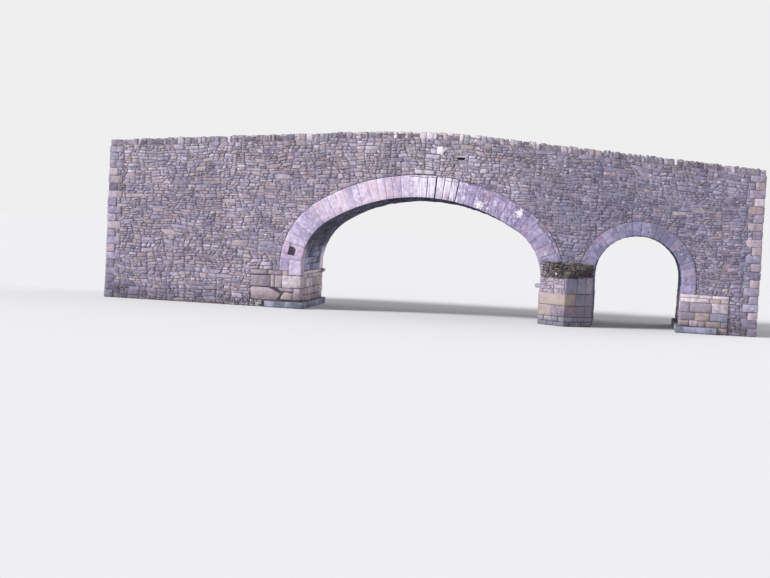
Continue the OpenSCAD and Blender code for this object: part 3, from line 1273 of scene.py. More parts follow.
@dataclass
class MainRing(ArchRing):
    """Front ring of the main arch, with its lost stone, its divided springer and its open joints."""

    hole: Point = (0.48, 0.8)
    hole_out: Point = (0.265, 0.51)
    springer_out: float = 0.4
    springer_drop: float = 0.14
    open_joints: Sequence[Point] = (
        (0.12, 0.011), (0.41, 0.022), (0.67, 0.01), (0.89, 0.004), (1.12, 0.014),
    )

    def known(self) -> list[Point]:
        """Joints whose places are given, each with half its width.

        Returns:
            The joints of the springers, of the hole and of the crown.
        """
        crown = [(self.arch.over_crown(over, self.depth / 2), half) for over, half in self.open_joints]
        ends = [(mark, 0.003) for mark in (self.springer, *self.hole)]
        return [*ends, *crown, (self.arch.length - self.springer, 0.003)]

    def full_stone(self, along: Point, deep: float, tint: Tint) -> None:
        """Lays a stone of the whole depth of the ring, or the parts of one.

        Args:
            along: Where it starts and ends along the line.
            deep: Its depth in the masonry.
            tint: Its colour.
        """
        if along[1] < self.springer:
            self.stone((-self.springer_drop, along[1]), (-self.bed, self.springer_out), tint)
            self.stone(along, (self.springer_out + self.bed, deep), replace(tint, pale=0.5))
        elif self.hole[0] < along[1] < self.hole[1] + 0.01 and along[0] > self.hole[0]:
            self.stone(along, (-self.bed, self.hole_out[0]), tint)
            self.stone(along, (self.hole_out[1], deep), tint)
        else:
            self.stone(along, (-self.bed, deep), tint)


@dataclass
class Vault:
    """Rough courses of stone on the underside of an arch, between its two face rings."""

    heap: StoneHeap
    arch: ArchLine
    sag: float
    skin: float = 0.1
    half_joint: float = 0.005
    widths: Point = (0.15, 0.27)
    lengths: Point = (0.28, 0.7)

    def hang(self, over: float, y: float) -> float:
        """How far the stones hang below the line: most near the crown and towards the back."""
        reach = (over - 0.24 * self.arch.half_span) / (0.9 * self.arch.half_span)
        return self.sag * max(0.0, 1 - reach**2) * graded(y, (-1.3, 0.4), (0.2, 1.0))

    def tint(self, z: float) -> Tint:
        """Colour of the vault: dark overhead as painted shade, and paler down the walls of the opening as
        painted light.
        """
        return Tint(graded(z - SIZES.spring_z, (0.0, 0.86), (0.5, 0.74), (1.0, 0.4), (1.6, 0.22)), 0.3, 0.1)

    def build(self) -> list[Piece]:
        """Lays the courses.

        Returns:
            Their piece.
        """
        rng = self.heap.rng
        gap, side = self.half_joint, SIZES.inner_y
        for along, wide in stretches(0.0, self.arch.length, self.widths, rng, self.widths[0]):
            for y, long in stretches(-side, side, self.lengths, rng, self.lengths[0]):
                hang = self.hang(self.arch.station(along + wide / 2), y + long / 2)
                out = (-hang - rng.uniform(0.004, 0.026), self.skin)
                ends = (along + gap, along + wide - gap)
                corners = arch_corners(self.arch, ends, out, (y + gap, y + long - gap))
                tint = self.tint(corners[..., 2].mean()).varied(rng)
                self.heap.block(corners, tint, 0.016, 0.007, self.heap.kit.plain)
        return [self.heap.piece(Finish.VAULT, 0.018, 0.008)]


@dataclass
class Pier:
    """Squared stones round the pier, and its two pointed cutwaters."""

    foot_courses: Sequence[Course] = (
        Course(0.0, 0.15, (0.14, 0.3), 0.024, (0.012, 0.045)),
        Course(0.15, 0.31, (0.16, 0.34), 0.024, (0.012, 0.04)),
    )
    block_courses: Sequence[Course] = (
        Course(0.31, 0.67, (0.4, 0.7), 0.02, (0.028, 0.038), 0.06),
        Course(0.67, 1.06, (0.5, 0.8), 0.022, (0.034, 0.042), 0.06),
    )
    block_noses: Sequence[Point] = ((0.5, 0.5), (1.02, 0.4))
    big_stones: Sequence[Spot] = ((0.0, 0.24, 0.07), (0.24, 0.56, 0.09), (0.56, 1.0, 0.0))

    def tint(self, x: float, y: float, z: float) -> Tint:
        """Colour of the pier: pale blocks over a grey foot, ochre on the left and bluish on the right, where
        the blue is painted shade.

        Args:
            x: Station of the stone.
            y: Its place across the bridge.
            z: Its height.

        Returns:
            The colour there.
        """
        pale = graded(z, (0.0, 0.3), (0.3, 0.34), (0.4, 0.18), (0.7, 0.1), (1.05, 0.1), (1.1, 0.33))
        warm = graded(z, (0.0, 0.2), (0.3, 0.3), (0.4, 0.86), (0.7, 0.9), (1.05, 0.9), (1.1, 0.5))
        over = x - SIZES.pier_x
        nose = 1.0 if z > 0.7 else 0.7
        # Painted shade: the stones right of the nose lose their warmth and turn bluish.
        shade = graded(over, (-0.3, 1.0), (0.01, nose), (0.1, 0.15)) if y < 0 or over > 0.8 else 0.8
        return Tint(pale, warm * shade, graded(z, (0.3, 0.05), (0.8, 0.1), (1.5, 0.4)))

    def build(self) -> list[Piece]:
        """Lays the pier.

        Returns:
            Its pieces.
        """
        left, right, proud = SIZES.pier_left, SIZES.pier_right, SIZES.proud_y
        mid, nose = SIZES.pier_x, SIZES.nose_y
        whole = [(left, -proud), (mid, -nose), (right, -proud), (right, proud), (mid, nose), (left, proud)]
        body = StoneHeap("pier_stones", 90)
        BlockWork(body, whole, self.foot_courses, self.tint, True, quoin=(0.2, 0.36)).lay()
        for course, reach in zip(self.block_courses, self.block_noses):
            fixed = {0: (0.0, 0.0), 1: reach, 4: reach[::-1], 5: (0.0, 0.0)}
            BlockWork(body, whole, [course], self.tint, True, fixed=fixed).lay()
        foot = self.block_courses[-1].head
        top = Course(foot, SIZES.spring_z, (0.2, 0.45)), Course(foot, SIZES.impost_z, (0.12, 0.3))
        for course, x, turn in zip(top, (right, left), (1, -1)):
            BlockWork(body, [(x, -turn * proud), (x, turn * proud)], [course], self.tint).lay()
        return [body.piece(Finish.ASHLAR, 0.016, 0.008), *(self.cutwater_head(face) for face in Face)]

    @staticmethod
    def facet(face: Face, turn: float, z: float) -> tuple[Plane, float]:
        """Finds one side of a cutwater.

        Args:
            face: The face on which the cutwater stands.
            turn: -1 for its side towards the main arch, 1 for the other one.
            z: Height at which the plane starts.

        Returns:
            Its plane, which runs from the pier's shoulder to the nose, and its length.
        """
        side, half, reach = face.value, SIZES.pier_half, SIZES.nose_reach
        length = math.hypot(half, reach)
        start = (SIZES.pier_x + turn * half, side * SIZES.proud_y, z)
        along = (-turn * half / length, side * reach / length, 0.0)
        away = (turn * reach / length, side * half / length, 0.0)
        return Plane(start, along, (0.0, 0.0, 1.0), away), length

    def cutwater_head(self, face: Face) -> Piece:
        """Lays the head of one cutwater: rubble towards the main arch, big stones on the other side.

        Args:
            face: The face on which it stands.

        Returns:
            The piece.
        """
        heap = StoneHeap(f"{face.word}_cutwater_stones", 95 + face.value)
        foot = self.block_courses[-1].head
        tall = SIZES.nose_z - foot
        plane, length = self.facet(face, -1.0, foot)
        small = {"panel_w": (0.3, 0.6), "panel_h": (0.2, 0.4), "tallest": 0.17, "shortest": 0.12}
        small["spread"] = (0.06, 0.1)
        cuts = [partial(within, left=0.0, right=length)]
        tint = self.tint(SIZES.pier_left, -1.0, foot + 0.2)
        RubbleWall(heap, plane, 0.0, length, 0.0, tall, lambda u, v: tint, cuts, **small).lay()
        plane, length = self.facet(face, 1.0, foot)
        for start, end, high in self.big_stones:
            spot = (start * length + 0.004, 0.004), (end * length - 0.004, tall + high)
            # Dark bluish big stones: painted shade on the side away from the main arch.
            tint = Tint(0.3, 0.1, 0.2).varied(heap.rng, 0.06)
            heap.slab(plane, spot, tint, heap.rng.uniform(0.01, 0.03), 0.16)
        return heap.piece(Finish.ASHLAR, 0.02, 0.01)


@dataclass
class CutwaterCap:
    """Loose brown rubble of a ruined cap, on its slope and on its two upright sides."""

    face: Face
    stand: Point = (0.012, 0.06)

    def tint(self, over: float) -> Tint:
        """Colour of the cap, paler towards the main arch."""
        return Tint(graded(over, (-0.8, 0.88), (-0.4, 0.45), (0.7, 0.26)), 0.55, 0.12)

    def facet_tint(self, turn: float, share: float, u: float, v: float) -> Tint:
        """Colour of an upright side at a place along it."""
        return self.tint(turn * share * (1.03 - u))

    def build(self) -> list[Piece]:
        """Lays the cap.

        Returns:
            Its piece.
        """
        heap = StoneHeap(f"{self.face.word}_cap_rubble", 105 + self.face.value)
        side, half, reach = self.face.value, SIZES.pier_half, SIZES.nose_reach
        drop = SIZES.cap_z - SIZES.nose_z
        small = {"panel_w": (0.4, 0.7), "panel_h": (0.24, 0.4), "tallest": 0.15, "shortest": 0.1}
        small["stand"] = self.stand
        slope = math.hypot(reach, drop)
        up, out = (0.0, -side * reach / slope, drop / slope), (0.0, side * drop / slope, reach / slope)
        plane = Plane((SIZES.pier_x, side * SIZES.nose_y, SIZES.nose_z), (1.0, 0.0, 0.0), up, out)
        inside = [partial(clipped, foot=(0.0, -0.02), inward=(turn * slope, half)) for turn in (-1.0, 1.0)]
        RubbleWall(heap, plane, -half, half, 0.0, slope, lambda u, v: self.tint(u), inside, **small).lay()
        for turn in (-1.0, 1.0):
            facet, length = Pier.facet(self.face, turn, SIZES.nose_z)
            under = [partial(clipped, foot=(length, 0.0), inward=(-drop, -length))]
            tint = partial(self.facet_tint, turn, half / length)
            RubbleWall(heap, facet, 0.0, length, 0.0, drop, tint, under, **small).lay()
        return [heap.piece(Finish.CAP, 0.03, 0.014)]


@dataclass
class Abutments:
    """Squared stones of the two abutments, their footing slabs and the impost courses."""

    front_depth: float = 0.5
    half_joint: float = 0.003
    courses: Sequence[Course] = (
        Course(0.0, SIZES.footing_z, (0.2, 0.4), 0.024, (0.012, 0.026)),
        Course(SIZES.footing_z, 0.42, (0.2, 0.5), 0.026, (0.014, 0.034)),
        Course(0.42, 0.68, (0.25, 0.65), 0.026, (0.014, 0.038)),
        Course(0.68, 1.0, (0.4, 0.75), 0.024, (0.014, 0.032)),
        Course(1.0, SIZES.impost_z, (0.3, 0.6), 0.018, (0.012, 0.026)),
    )
    top: Course = Course(SIZES.impost_z, SIZES.spring_z, (0.3, 0.6), 0.016)

    def tint(self, x: float, y: float, z: float) -> Tint:
        """Colour of the abutments: big pale blocks over darker, damp ones, with painted light on the walls of
        the main opening, paler towards its lit far edge.

        Args:
            x: Station of the stone.
            y: Its place across the bridge.
            z: Its height.

        Returns:
            The colour there.
        """
        pale = graded(z, (0.0, 0.34), (0.3, 0.42), (0.8, 0.5), (1.2, 0.57))
        # Painted light: the walls of the main opening get paler towards the back, where the far edge is lit.
        if SIZES.main_left - 0.01 < x < SIZES.pier_left:
            pale += graded(y, (1.0, 0.2), (1.8, 0.55))
        return Tint(pale, 0.6, graded(z, (0.3, 0.05), (1.2, 0.2)))

    def build(self) -> list[Piece]:
        """Lays both abutments.

        Returns:
            Their pieces.
        """
        proud, deep = SIZES.proud_y, SIZES.proud_y - self.front_depth
        left, right = SIZES.left_abutment, SIZES.right_abutment
        lines = {
            "left": [(SIZES.main_left, -deep), (SIZES.main_left, proud), (left, proud)],
            "right": [(right, proud), (SIZES.side_right, proud), (SIZES.side_right, -proud), (right, -proud)],
        }
        pieces = []
        for number, (word, line) in enumerate(lines.items()):
            heap = StoneHeap(f"{word}_abutment_stones", 110 + number)
            BlockWork(heap, line, self.courses, self.tint).lay()
            if word == "left":
                BlockWork(heap, line[1:], [self.top], self.tint).lay()
                self.lay_left_front(heap)
            else:
                BlockWork(heap, line, [self.top], self.tint).lay()
            pieces.append(heap.piece(Finish.ASHLAR, 0.018, 0.009))
            pieces.append(self.footing(word))
        pieces.append(self.impost("left_impost", 1.0, 120))
        pieces.append(self.impost("pier_impost", -1.0, 121))
        return pieces

    def lay_left_front(self, heap: StoneHeap) -> None:
        """Lays the front of the left abutment stone by stone, as it was patched over the years.

        Places are measured along the face from the corner of the opening, and up from the floor.

        Args:
            heap: Where the stones are laid.
        """
        # The dark stones at the top left, pale 0.11 to 0.34, are painted shadow of the ivy.
        squared = (
            ((-1.7, 1.09), (-1.12, 1.25), Tint(0.26, 0.6)),
            ((-1.12, 1.09), (-0.61, 1.25), Tint(0.34, 0.6)),
            ((-0.61, 1.08), (-0.41, 1.25), Tint(0.57, 0.8)),
            ((-1.7, 0.69), (-1.0, 1.07), Tint(0.11, 0.62)),
            ((-1.0, 0.67), (-0.86, 1.08), Tint(0.65, 0.9)),
            ((-0.86, 0.67), (-0.62, 1.08), Tint(0.54, 0.74)),
            ((-0.62, 0.67), (0.0, 1.1), Tint(0.79, 0.55)),
            ((-0.215, 0.26), (0.0, 0.66), Tint(0.6, 0.82)),
        )
        plane = replace(long_plane(-SIZES.proud_y, -1.0), start=(SIZES.main_left, -SIZES.proud_y, 0.0))
        gap = self.half_joint
        for (x0, z0), (x1, z1), tint in squared:
            end = 0.02 if x1 == 0.0 else x1 - gap
            spot = (x0 + gap, z0 + gap), (end, z1 - gap)
            heap.slab(plane, spot, tint, heap.rng.uniform(0.014, 0.03), self.front_depth, 0.024)
        thin = [(-0.76, 0.64), (-0.57, 0.54), (-0.22, 0.555), (-0.22, 0.66), (-0.7, 0.665)]
        small = [(-0.65, 0.27), (-0.22, 0.26), (-0.22, 0.55), (-0.52, 0.54), (-0.63, 0.36)]
        great = [(-1.7, 0.27), (-0.74, 0.23), (-0.6, 0.34), (-0.62, 0.48), (-1.0, 0.65), (-1.7, 0.67)]
        tints = Tint(0.48, 0.6), Tint(0.63, 0.88), Tint(0.49, 0.74)
        for shape, tint in zip((thin, small, great), tints):
            heap.rubble(plane, shape, heap.rng.uniform(0.02, 0.035), tint, 0.05)
        fine = {"panel_w": (0.4, 0.5), "panel_h": (0.2, 0.3), "tallest": 0.11, "shortest": 0.08}
        pebble = Tint(1.0, 0.35, 0.9)
        RubbleWall(heap, plane, -1.69, -1.23, 0.0, 0.26, lambda u, v: pebble, [over_floor], **fine).lay()

    def footing(self, word: str) -> Piece:
        """Lays the long rough slabs of one footing.

        Args:
            word: Side of the bridge.

        Returns:
            The piece, on the footing's solid.
        """
        low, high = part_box(f"{word}_footing")
        heap = StoneHeap(f"{word}_footing_slabs", 115)
        line = [(low.x, low.y), (high.x, low.y), (high.x, high.y), (low.x, high.y)]
        if word == "right":
            line = line[2:] + line[:2]
        course = [Course(0.0, high.z, (0.5, 1.0), 0.03, (0.012, 0.022))]
        fixed = {1: (1.3, 0.6)} if word == "left" else {2: (0.6, 1.3)}
        BlockWork(heap, line, course, lambda x, y, z: Tint(0.5, 0.1, 0.06), depth=0.12, fixed=fixed).lay()
        return heap.piece(Finish.FOOTING, 0.02, 0.008)

    def impost(self, node: str, side: float, seed: int) -> Piece:
        """Lays the worn slabs of an impost course, in place of its plain solid.

        Args:
            node: The solid that they replace.
            side: Direction in which the course looks.
            seed: Start of its chance.

        Returns:
            The piece.
        """
        heap = StoneHeap(f"{node}_slabs", seed)
        low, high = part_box(node)
        face_x = SIZES.main_left if side > 0 else SIZES.pier_left
        most = abs((high.x if side > 0 else low.x) - face_x)
        first, last = -SIZES.proud_y + (self.front_depth if side > 0 else 0.0), SIZES.proud_y
        gap = 2 * self.half_joint
        for y, long in stretches(first, last, (0.3, 0.6), heap.rng, 0.3):
            reach, lift, tint = heap.rng.uniform(0.03, 0.06), 0.003, Tint(1.0, 0.45, 0.6)
            if side < 0 and y == first:
                reach, lift, tint = most, 0.05, Tint(0.55, 0.4, 0.2)
            if side > 0 and y + long > last - SHORTEST_RUN:
                reach, tint = 0.65 * most, Tint(0.1, 0.5, 0.1)
            start = (face_x + side * reach, y + gap, low.z + lift)
            runs = ((-side * (0.4 + reach), 0, 0), (0, long - 2 * gap, 0), (0, 0, high.z - low.z - gap))
            heap.block(box_corners(start, *runs), tint.varied(heap.rng, 0.08), 0.024, 0.012)
        piece = heap.piece(Finish.ASHLAR, 0.018, 0.008)
        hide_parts(node)
        return piece


@dataclass
class Coping:
    """Rough stones set on edge along both parapets, bedded in mortar."""

    thick: Point = (0.09, 0.24)
    heights: Point = (0.95, 1.05)
    half_joint: float = 0.003
    sunk: float = 0.02
    gap_x: float = 1.5
    gap_share: float = 0.45
    bed_length: float = 0.6
    bed_share: float = 0.76

    def build(self) -> list[Piece]:
        """Lays the coping of both parapets."""
        return [self.row(face, *half) for face in Face for half in HALVES]

    def row(self, face: Face, side: str, x0: float, x1: float) -> Piece:
        """Lays half the coping of one parapet.

        Args:
            face: Its face.
            side: Its half.
            x0: Where it starts.
            x1: Where it ends.

        Returns:
            The piece.
        """
        node = f"{face.word}_{side}_coping"
        heap = StoneHeap(f"{node}_stones", 135 + 2 * face.value + int(x0))
        low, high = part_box(node)
        for x, thick in stretches(x0, x1, self.thick, heap.rng, self.thick[0]):
            self.stone(heap, face, (x, x + thick), (low.y, high.y))
        self.bed(heap, (x0, x1), (low.y + 0.03, high.y - 0.03))
        piece = heap.piece(Finish.COPING, 0.034, 0.014)
        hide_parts(node)
        return piece

    def stone(self, heap: StoneHeap, face: Face, along: Point, across: Point) -> None:
        """Stands one stone on edge across the parapet.

        Args:
            heap: Where it is laid.
            face: Face of the parapet.
            along: Its two stations.
            across: Its two Y places.
        """
        rng = heap.rng
        mid = sum(along) / 2
        tall = SIZES.coping_h * rng.uniform(*self.heights)
        if face is Face.FRONT and abs(mid - MAIN_ARCH.centre_x - self.gap_x) < 0.1:
            tall *= self.gap_share
        foot = ROAD.height(mid) + SIZES.parapet_h - self.sunk
        short = rng.uniform(0.0, 0.035, 2)
        start = (along[0] + self.half_joint, across[0] + short[0], foot)
        wide = along[1] - along[0] - 2 * self.half_joint
        deep = across[1] - across[0] - short.sum()
        corners = box_corners(start, (wide, 0, 0), (0, deep, 0), (0, 0, tall + self.sunk))
        corners[:, :, 1, 0] += rng.uniform(-0.03, 0.03)
        corners[:, 0, 1] += (0, rng.uniform(0.0, 0.05), rng.uniform(-0.03, 0.0))
        corners[:, 1, 1] += (0, -rng.uniform(0.0, 0.05), rng.uniform(-0.03, 0.0))
        pale = graded(abs(mid - MAIN_ARCH.centre_x), (0.5, 0.92), (3.0, 0.4), (6.0, 0.34))
        heap.block(corners, Tint(pale, 0.45, 0.5).varied(rng, 0.18), 0.036, 0.016)

    def bed(self, heap: StoneHeap, along: Point, across: Point) -> None:
        """Lays the bed between the stones.

        Args:
            heap: Where it is laid.
            along: Where it starts and ends.
            across: Its two Y places.
        """
        marks = np.linspace(*along, max(2, round((along[1] - along[0]) / self.bed_length)))
        for x0, x1 in zip(marks, marks[1:]):
            foot, far = (ROAD.height(x) + SIZES.parapet_h - self.sunk for x in (x0, x1))
            tall = self.bed_share * SIZES.coping_h
            runs = ((x1 - x0, 0, far - foot), (0, across[1] - across[0], 0), (0, 0, tall))
            corners = box_corners((x0, across[0], foot), *runs)
            heap.block(corners, Tint(0.14, 0.5, 0.1), 0.03, 0.003, heap.kit.plain)


@dataclass
class Roadway:
    """Small stones trodden into the road."""

    count: int = 520
    sides: int = 5
    radii: Point = (0.02, 0.08)
    stand: Point = (0.004, 0.018)
    end_gap: float = 0.1
    reach: float = 0.94
    crowding: float = 0.6

    def build(self) -> list[Piece]:
        """Scatters the stones, more of them towards the edges of the road.

        Returns:
            Their piece.
        """
        heap = StoneHeap("road_stones", 150)
        rng = heap.rng
        for _ in range(self.count):
            x = rng.uniform(SIZES.left_end + self.end_gap, SIZES.right_end - self.end_gap)
            y = self.reach * SIZES.parapet_y * rng.choice([-1, 1]) * rng.uniform() ** self.crowding
            slope = (ROAD.height(x + 0.05) - ROAD.height(x - 0.05)) / 0.1
            run = math.hypot(1.0, slope)
            ways = (1 / run, 0.0, slope / run), (0.0, 1.0, 0.0), (-slope / run, 0.0, 1 / run)
            radius = rng.uniform(*self.radii)
            turns = rng.uniform(0, WHOLE_TURN) + np.arange(self.sides) * 2 * math.pi / self.sides
            reach = radius * rng.uniform(0.7, 1.1, self.sides)
            shape = list(zip((reach * np.cos(turns)).tolist(), (reach * np.sin(turns)).tolist()))
            plane = Plane((x, y, ROAD.height(x)), *ways)
            heap.rubble(plane, shape, rng.uniform(*self.stand), Tint(0.5, 0.5, 0.1).varied(rng), 0.02)
        return [heap.piece(Finish.ROAD, 0.004, 0.002)]


Colour = tuple[float, float, float]
Socket = bpy.types.NodeSocket


def seen(red: int, green: int, blue: int) -> Colour:
    """Turns a colour as it is seen on a screen, 0 to 255, into the light values of a shader."""
    shares = (red / 255, green / 255, blue / 255)
    return tuple(c / 12.92 if c <= 0.04045 else ((c + 0.055) / 1.055) ** 2.4 for c in shares)


class NodeTree:
    """Nodes of a material or a world, added from the values to the shader."""

    def __init__(self, owner: bpy.types.Material | bpy.types.World) -> None:
        """Opens the nodes.

        Args:
            owner: The material or the world.
        """
        owner.use_nodes = True
        self.owner = owner
        self.nodes = owner.node_tree.nodes
        self.links = owner.node_tree.links

    def set(self, socket: Socket, value: object) -> None:
        """Joins a socket to another one, or gives it a plain value.

        Args:
            socket: The socket.
            value: The other socket, or the plain value.
        """
        if isinstance(value, Socket):
            self.links.new(value, socket)
        else:
            socket.default_value = value

    def node(self, kind: str, *values: object, **named: object) -> bpy.types.Node:
        """Adds a node.

        Args:
            kind: Its kind.
            values: Its first inputs, in order.
            named: Its settings, and its inputs by their capitalised names, with _ for a space.

        Returns:
            The node.
        """
        node = self.nodes.new(f"ShaderNode{kind}")
        for label, value in named.items():
            if label[0].isupper():
                self.set(node.inputs[label.replace("_", " ")], value)
            else:
                setattr(node, label, value)
        for socket, value in zip(node.inputs, values):
            self.set(socket, value)
        return node

    def sum(self, kind: str, a: object, b: object, clamp: bool = False) -> Socket:
        """Adds a step of arithmetic, whose result can be kept between 0 and 1."""
        return self.node("Math", a, b, operation=kind, use_clamp=clamp).outputs[0]

    def product(self, *values: object) -> Socket:
        """Multiplies two or more values."""
        return reduce(partial(self.sum, "MULTIPLY"), values)


class MaterialTree(NodeTree):
    """Nodes of a new material."""

    def __init__(self, name: str) -> None:
        """Starts the material with its plain shader.

        Args:
            name: Its name.
        """
        super().__init__(bpy.data.materials.new(name))
        self.shader = self.nodes["Principled BSDF"]
        self.place = self.node("TexCoord").outputs["Object"]

    def noise(
        self, scale: float, detail: float = 4.0, rough: float = 0.55, at: Socket | None = None
    ) -> Socket:
        """Adds a cloudy noise, read at the object's own place or at another one."""
        node = self.node("TexNoise", Scale=scale, Detail=detail, Roughness=rough, Vector=at or self.place)
        return node.outputs["Fac"]

    def cells(self, scale: float) -> Socket:
        """Adds a cell pattern and gives the distance from the middle of each cell."""
        return self.node("TexVoronoi", Scale=scale, Vector=self.place).outputs["Distance"]

    def stretched(self, *scale: float) -> Socket:
        """The object's place, scaled along each axis."""
        return self.node("Mapping", Vector=self.place, Scale=scale).outputs["Vector"]

    def band(self, value: object, low: float, high: float, *to: float) -> Socket:
        """Adds a smooth step between two values, from 0 to 1 unless other results are given."""
        values = (value, low, high, *(to or (0.0, 1.0)))
        return self.node("MapRange", *values, interpolation_type="SMOOTHSTEP").outputs["Result"]

    def ramp(self, value: object, *stops: tuple[float, Colour]) -> Socket:
        """Adds a run of colours.

        Args:
            value: What is read.
            stops: The colours, each with its value.

        Returns:
            The colour.
        """
        node = self.node("ValToRGB", Fac=value)
        while len(node.color_ramp.elements) < len(stops):
            node.color_ramp.elements.new(0.5)
        for element, (position, colour) in zip(node.color_ramp.elements, stops):
            element.position = position
            element.color = (*colour, 1.0)
        return node.outputs["Color"]

    def mix(self, share: object, a: object, b: object, kind: str = "MIX") -> Socket:
        """Adds a mix of two colours.

        Args:
            share: Share of the second colour.
            a: First colour.
            b: Second colour.
            kind: How they are mixed.

        Returns:
            The colour.
        """
        node = self.node("Mix", share, data_type="RGBA", blend_type=kind, clamp_factor=True)
        for socket, value in zip((s for s in node.inputs if s.type == "RGBA"), (a, b)):
            self.set(socket, (*value, 1.0) if isinstance(value, tuple) else value)
        return next(s for s in node.outputs if s.type == "RGBA")

    def parts(self, value: object, kind: str = "XYZ") -> list[Socket]:
        """Takes a place or a colour apart."""
        return list(self.node(f"Separate{kind}", value).outputs)

    def height(self) -> Socket:
        """Height of the place that is shaded."""
        return self.parts(self.place)[2]

    def facing(self) -> list[Socket]:
        """Direction in which the surface looks, taken apart."""
        return self.parts(self.node("NewGeometry").outputs["Normal"])

    def bump(self, *steps: tuple[Socket, float, float]) -> None:
        """Adds relief to the shader.

        Args:
            steps: Each step's height, strength and depth.
        """
        normal = None
        for height, strength, depth in steps:
            node = self.node("Bump", Strength=strength, Distance=depth, Height=height)
            if normal:
                self.links.new(normal, node.inputs["Normal"])
            normal = node.outputs["Normal"]
        self.links.new(normal, self.shader.inputs["Normal"])

    def finish(self, colour: object, roughness: object, specular: float) -> None:
        """Gives the shader its colour and its shine.

        Args:
            colour: Colour of the surface.
            roughness: Its roughness.
            specular: Strength of its shine.
        """
        self.set(self.shader.inputs["Base Color"], colour)
        self.set(self.shader.inputs["Roughness"], roughness)
        self.set(self.shader.inputs["Specular IOR Level"], specular)


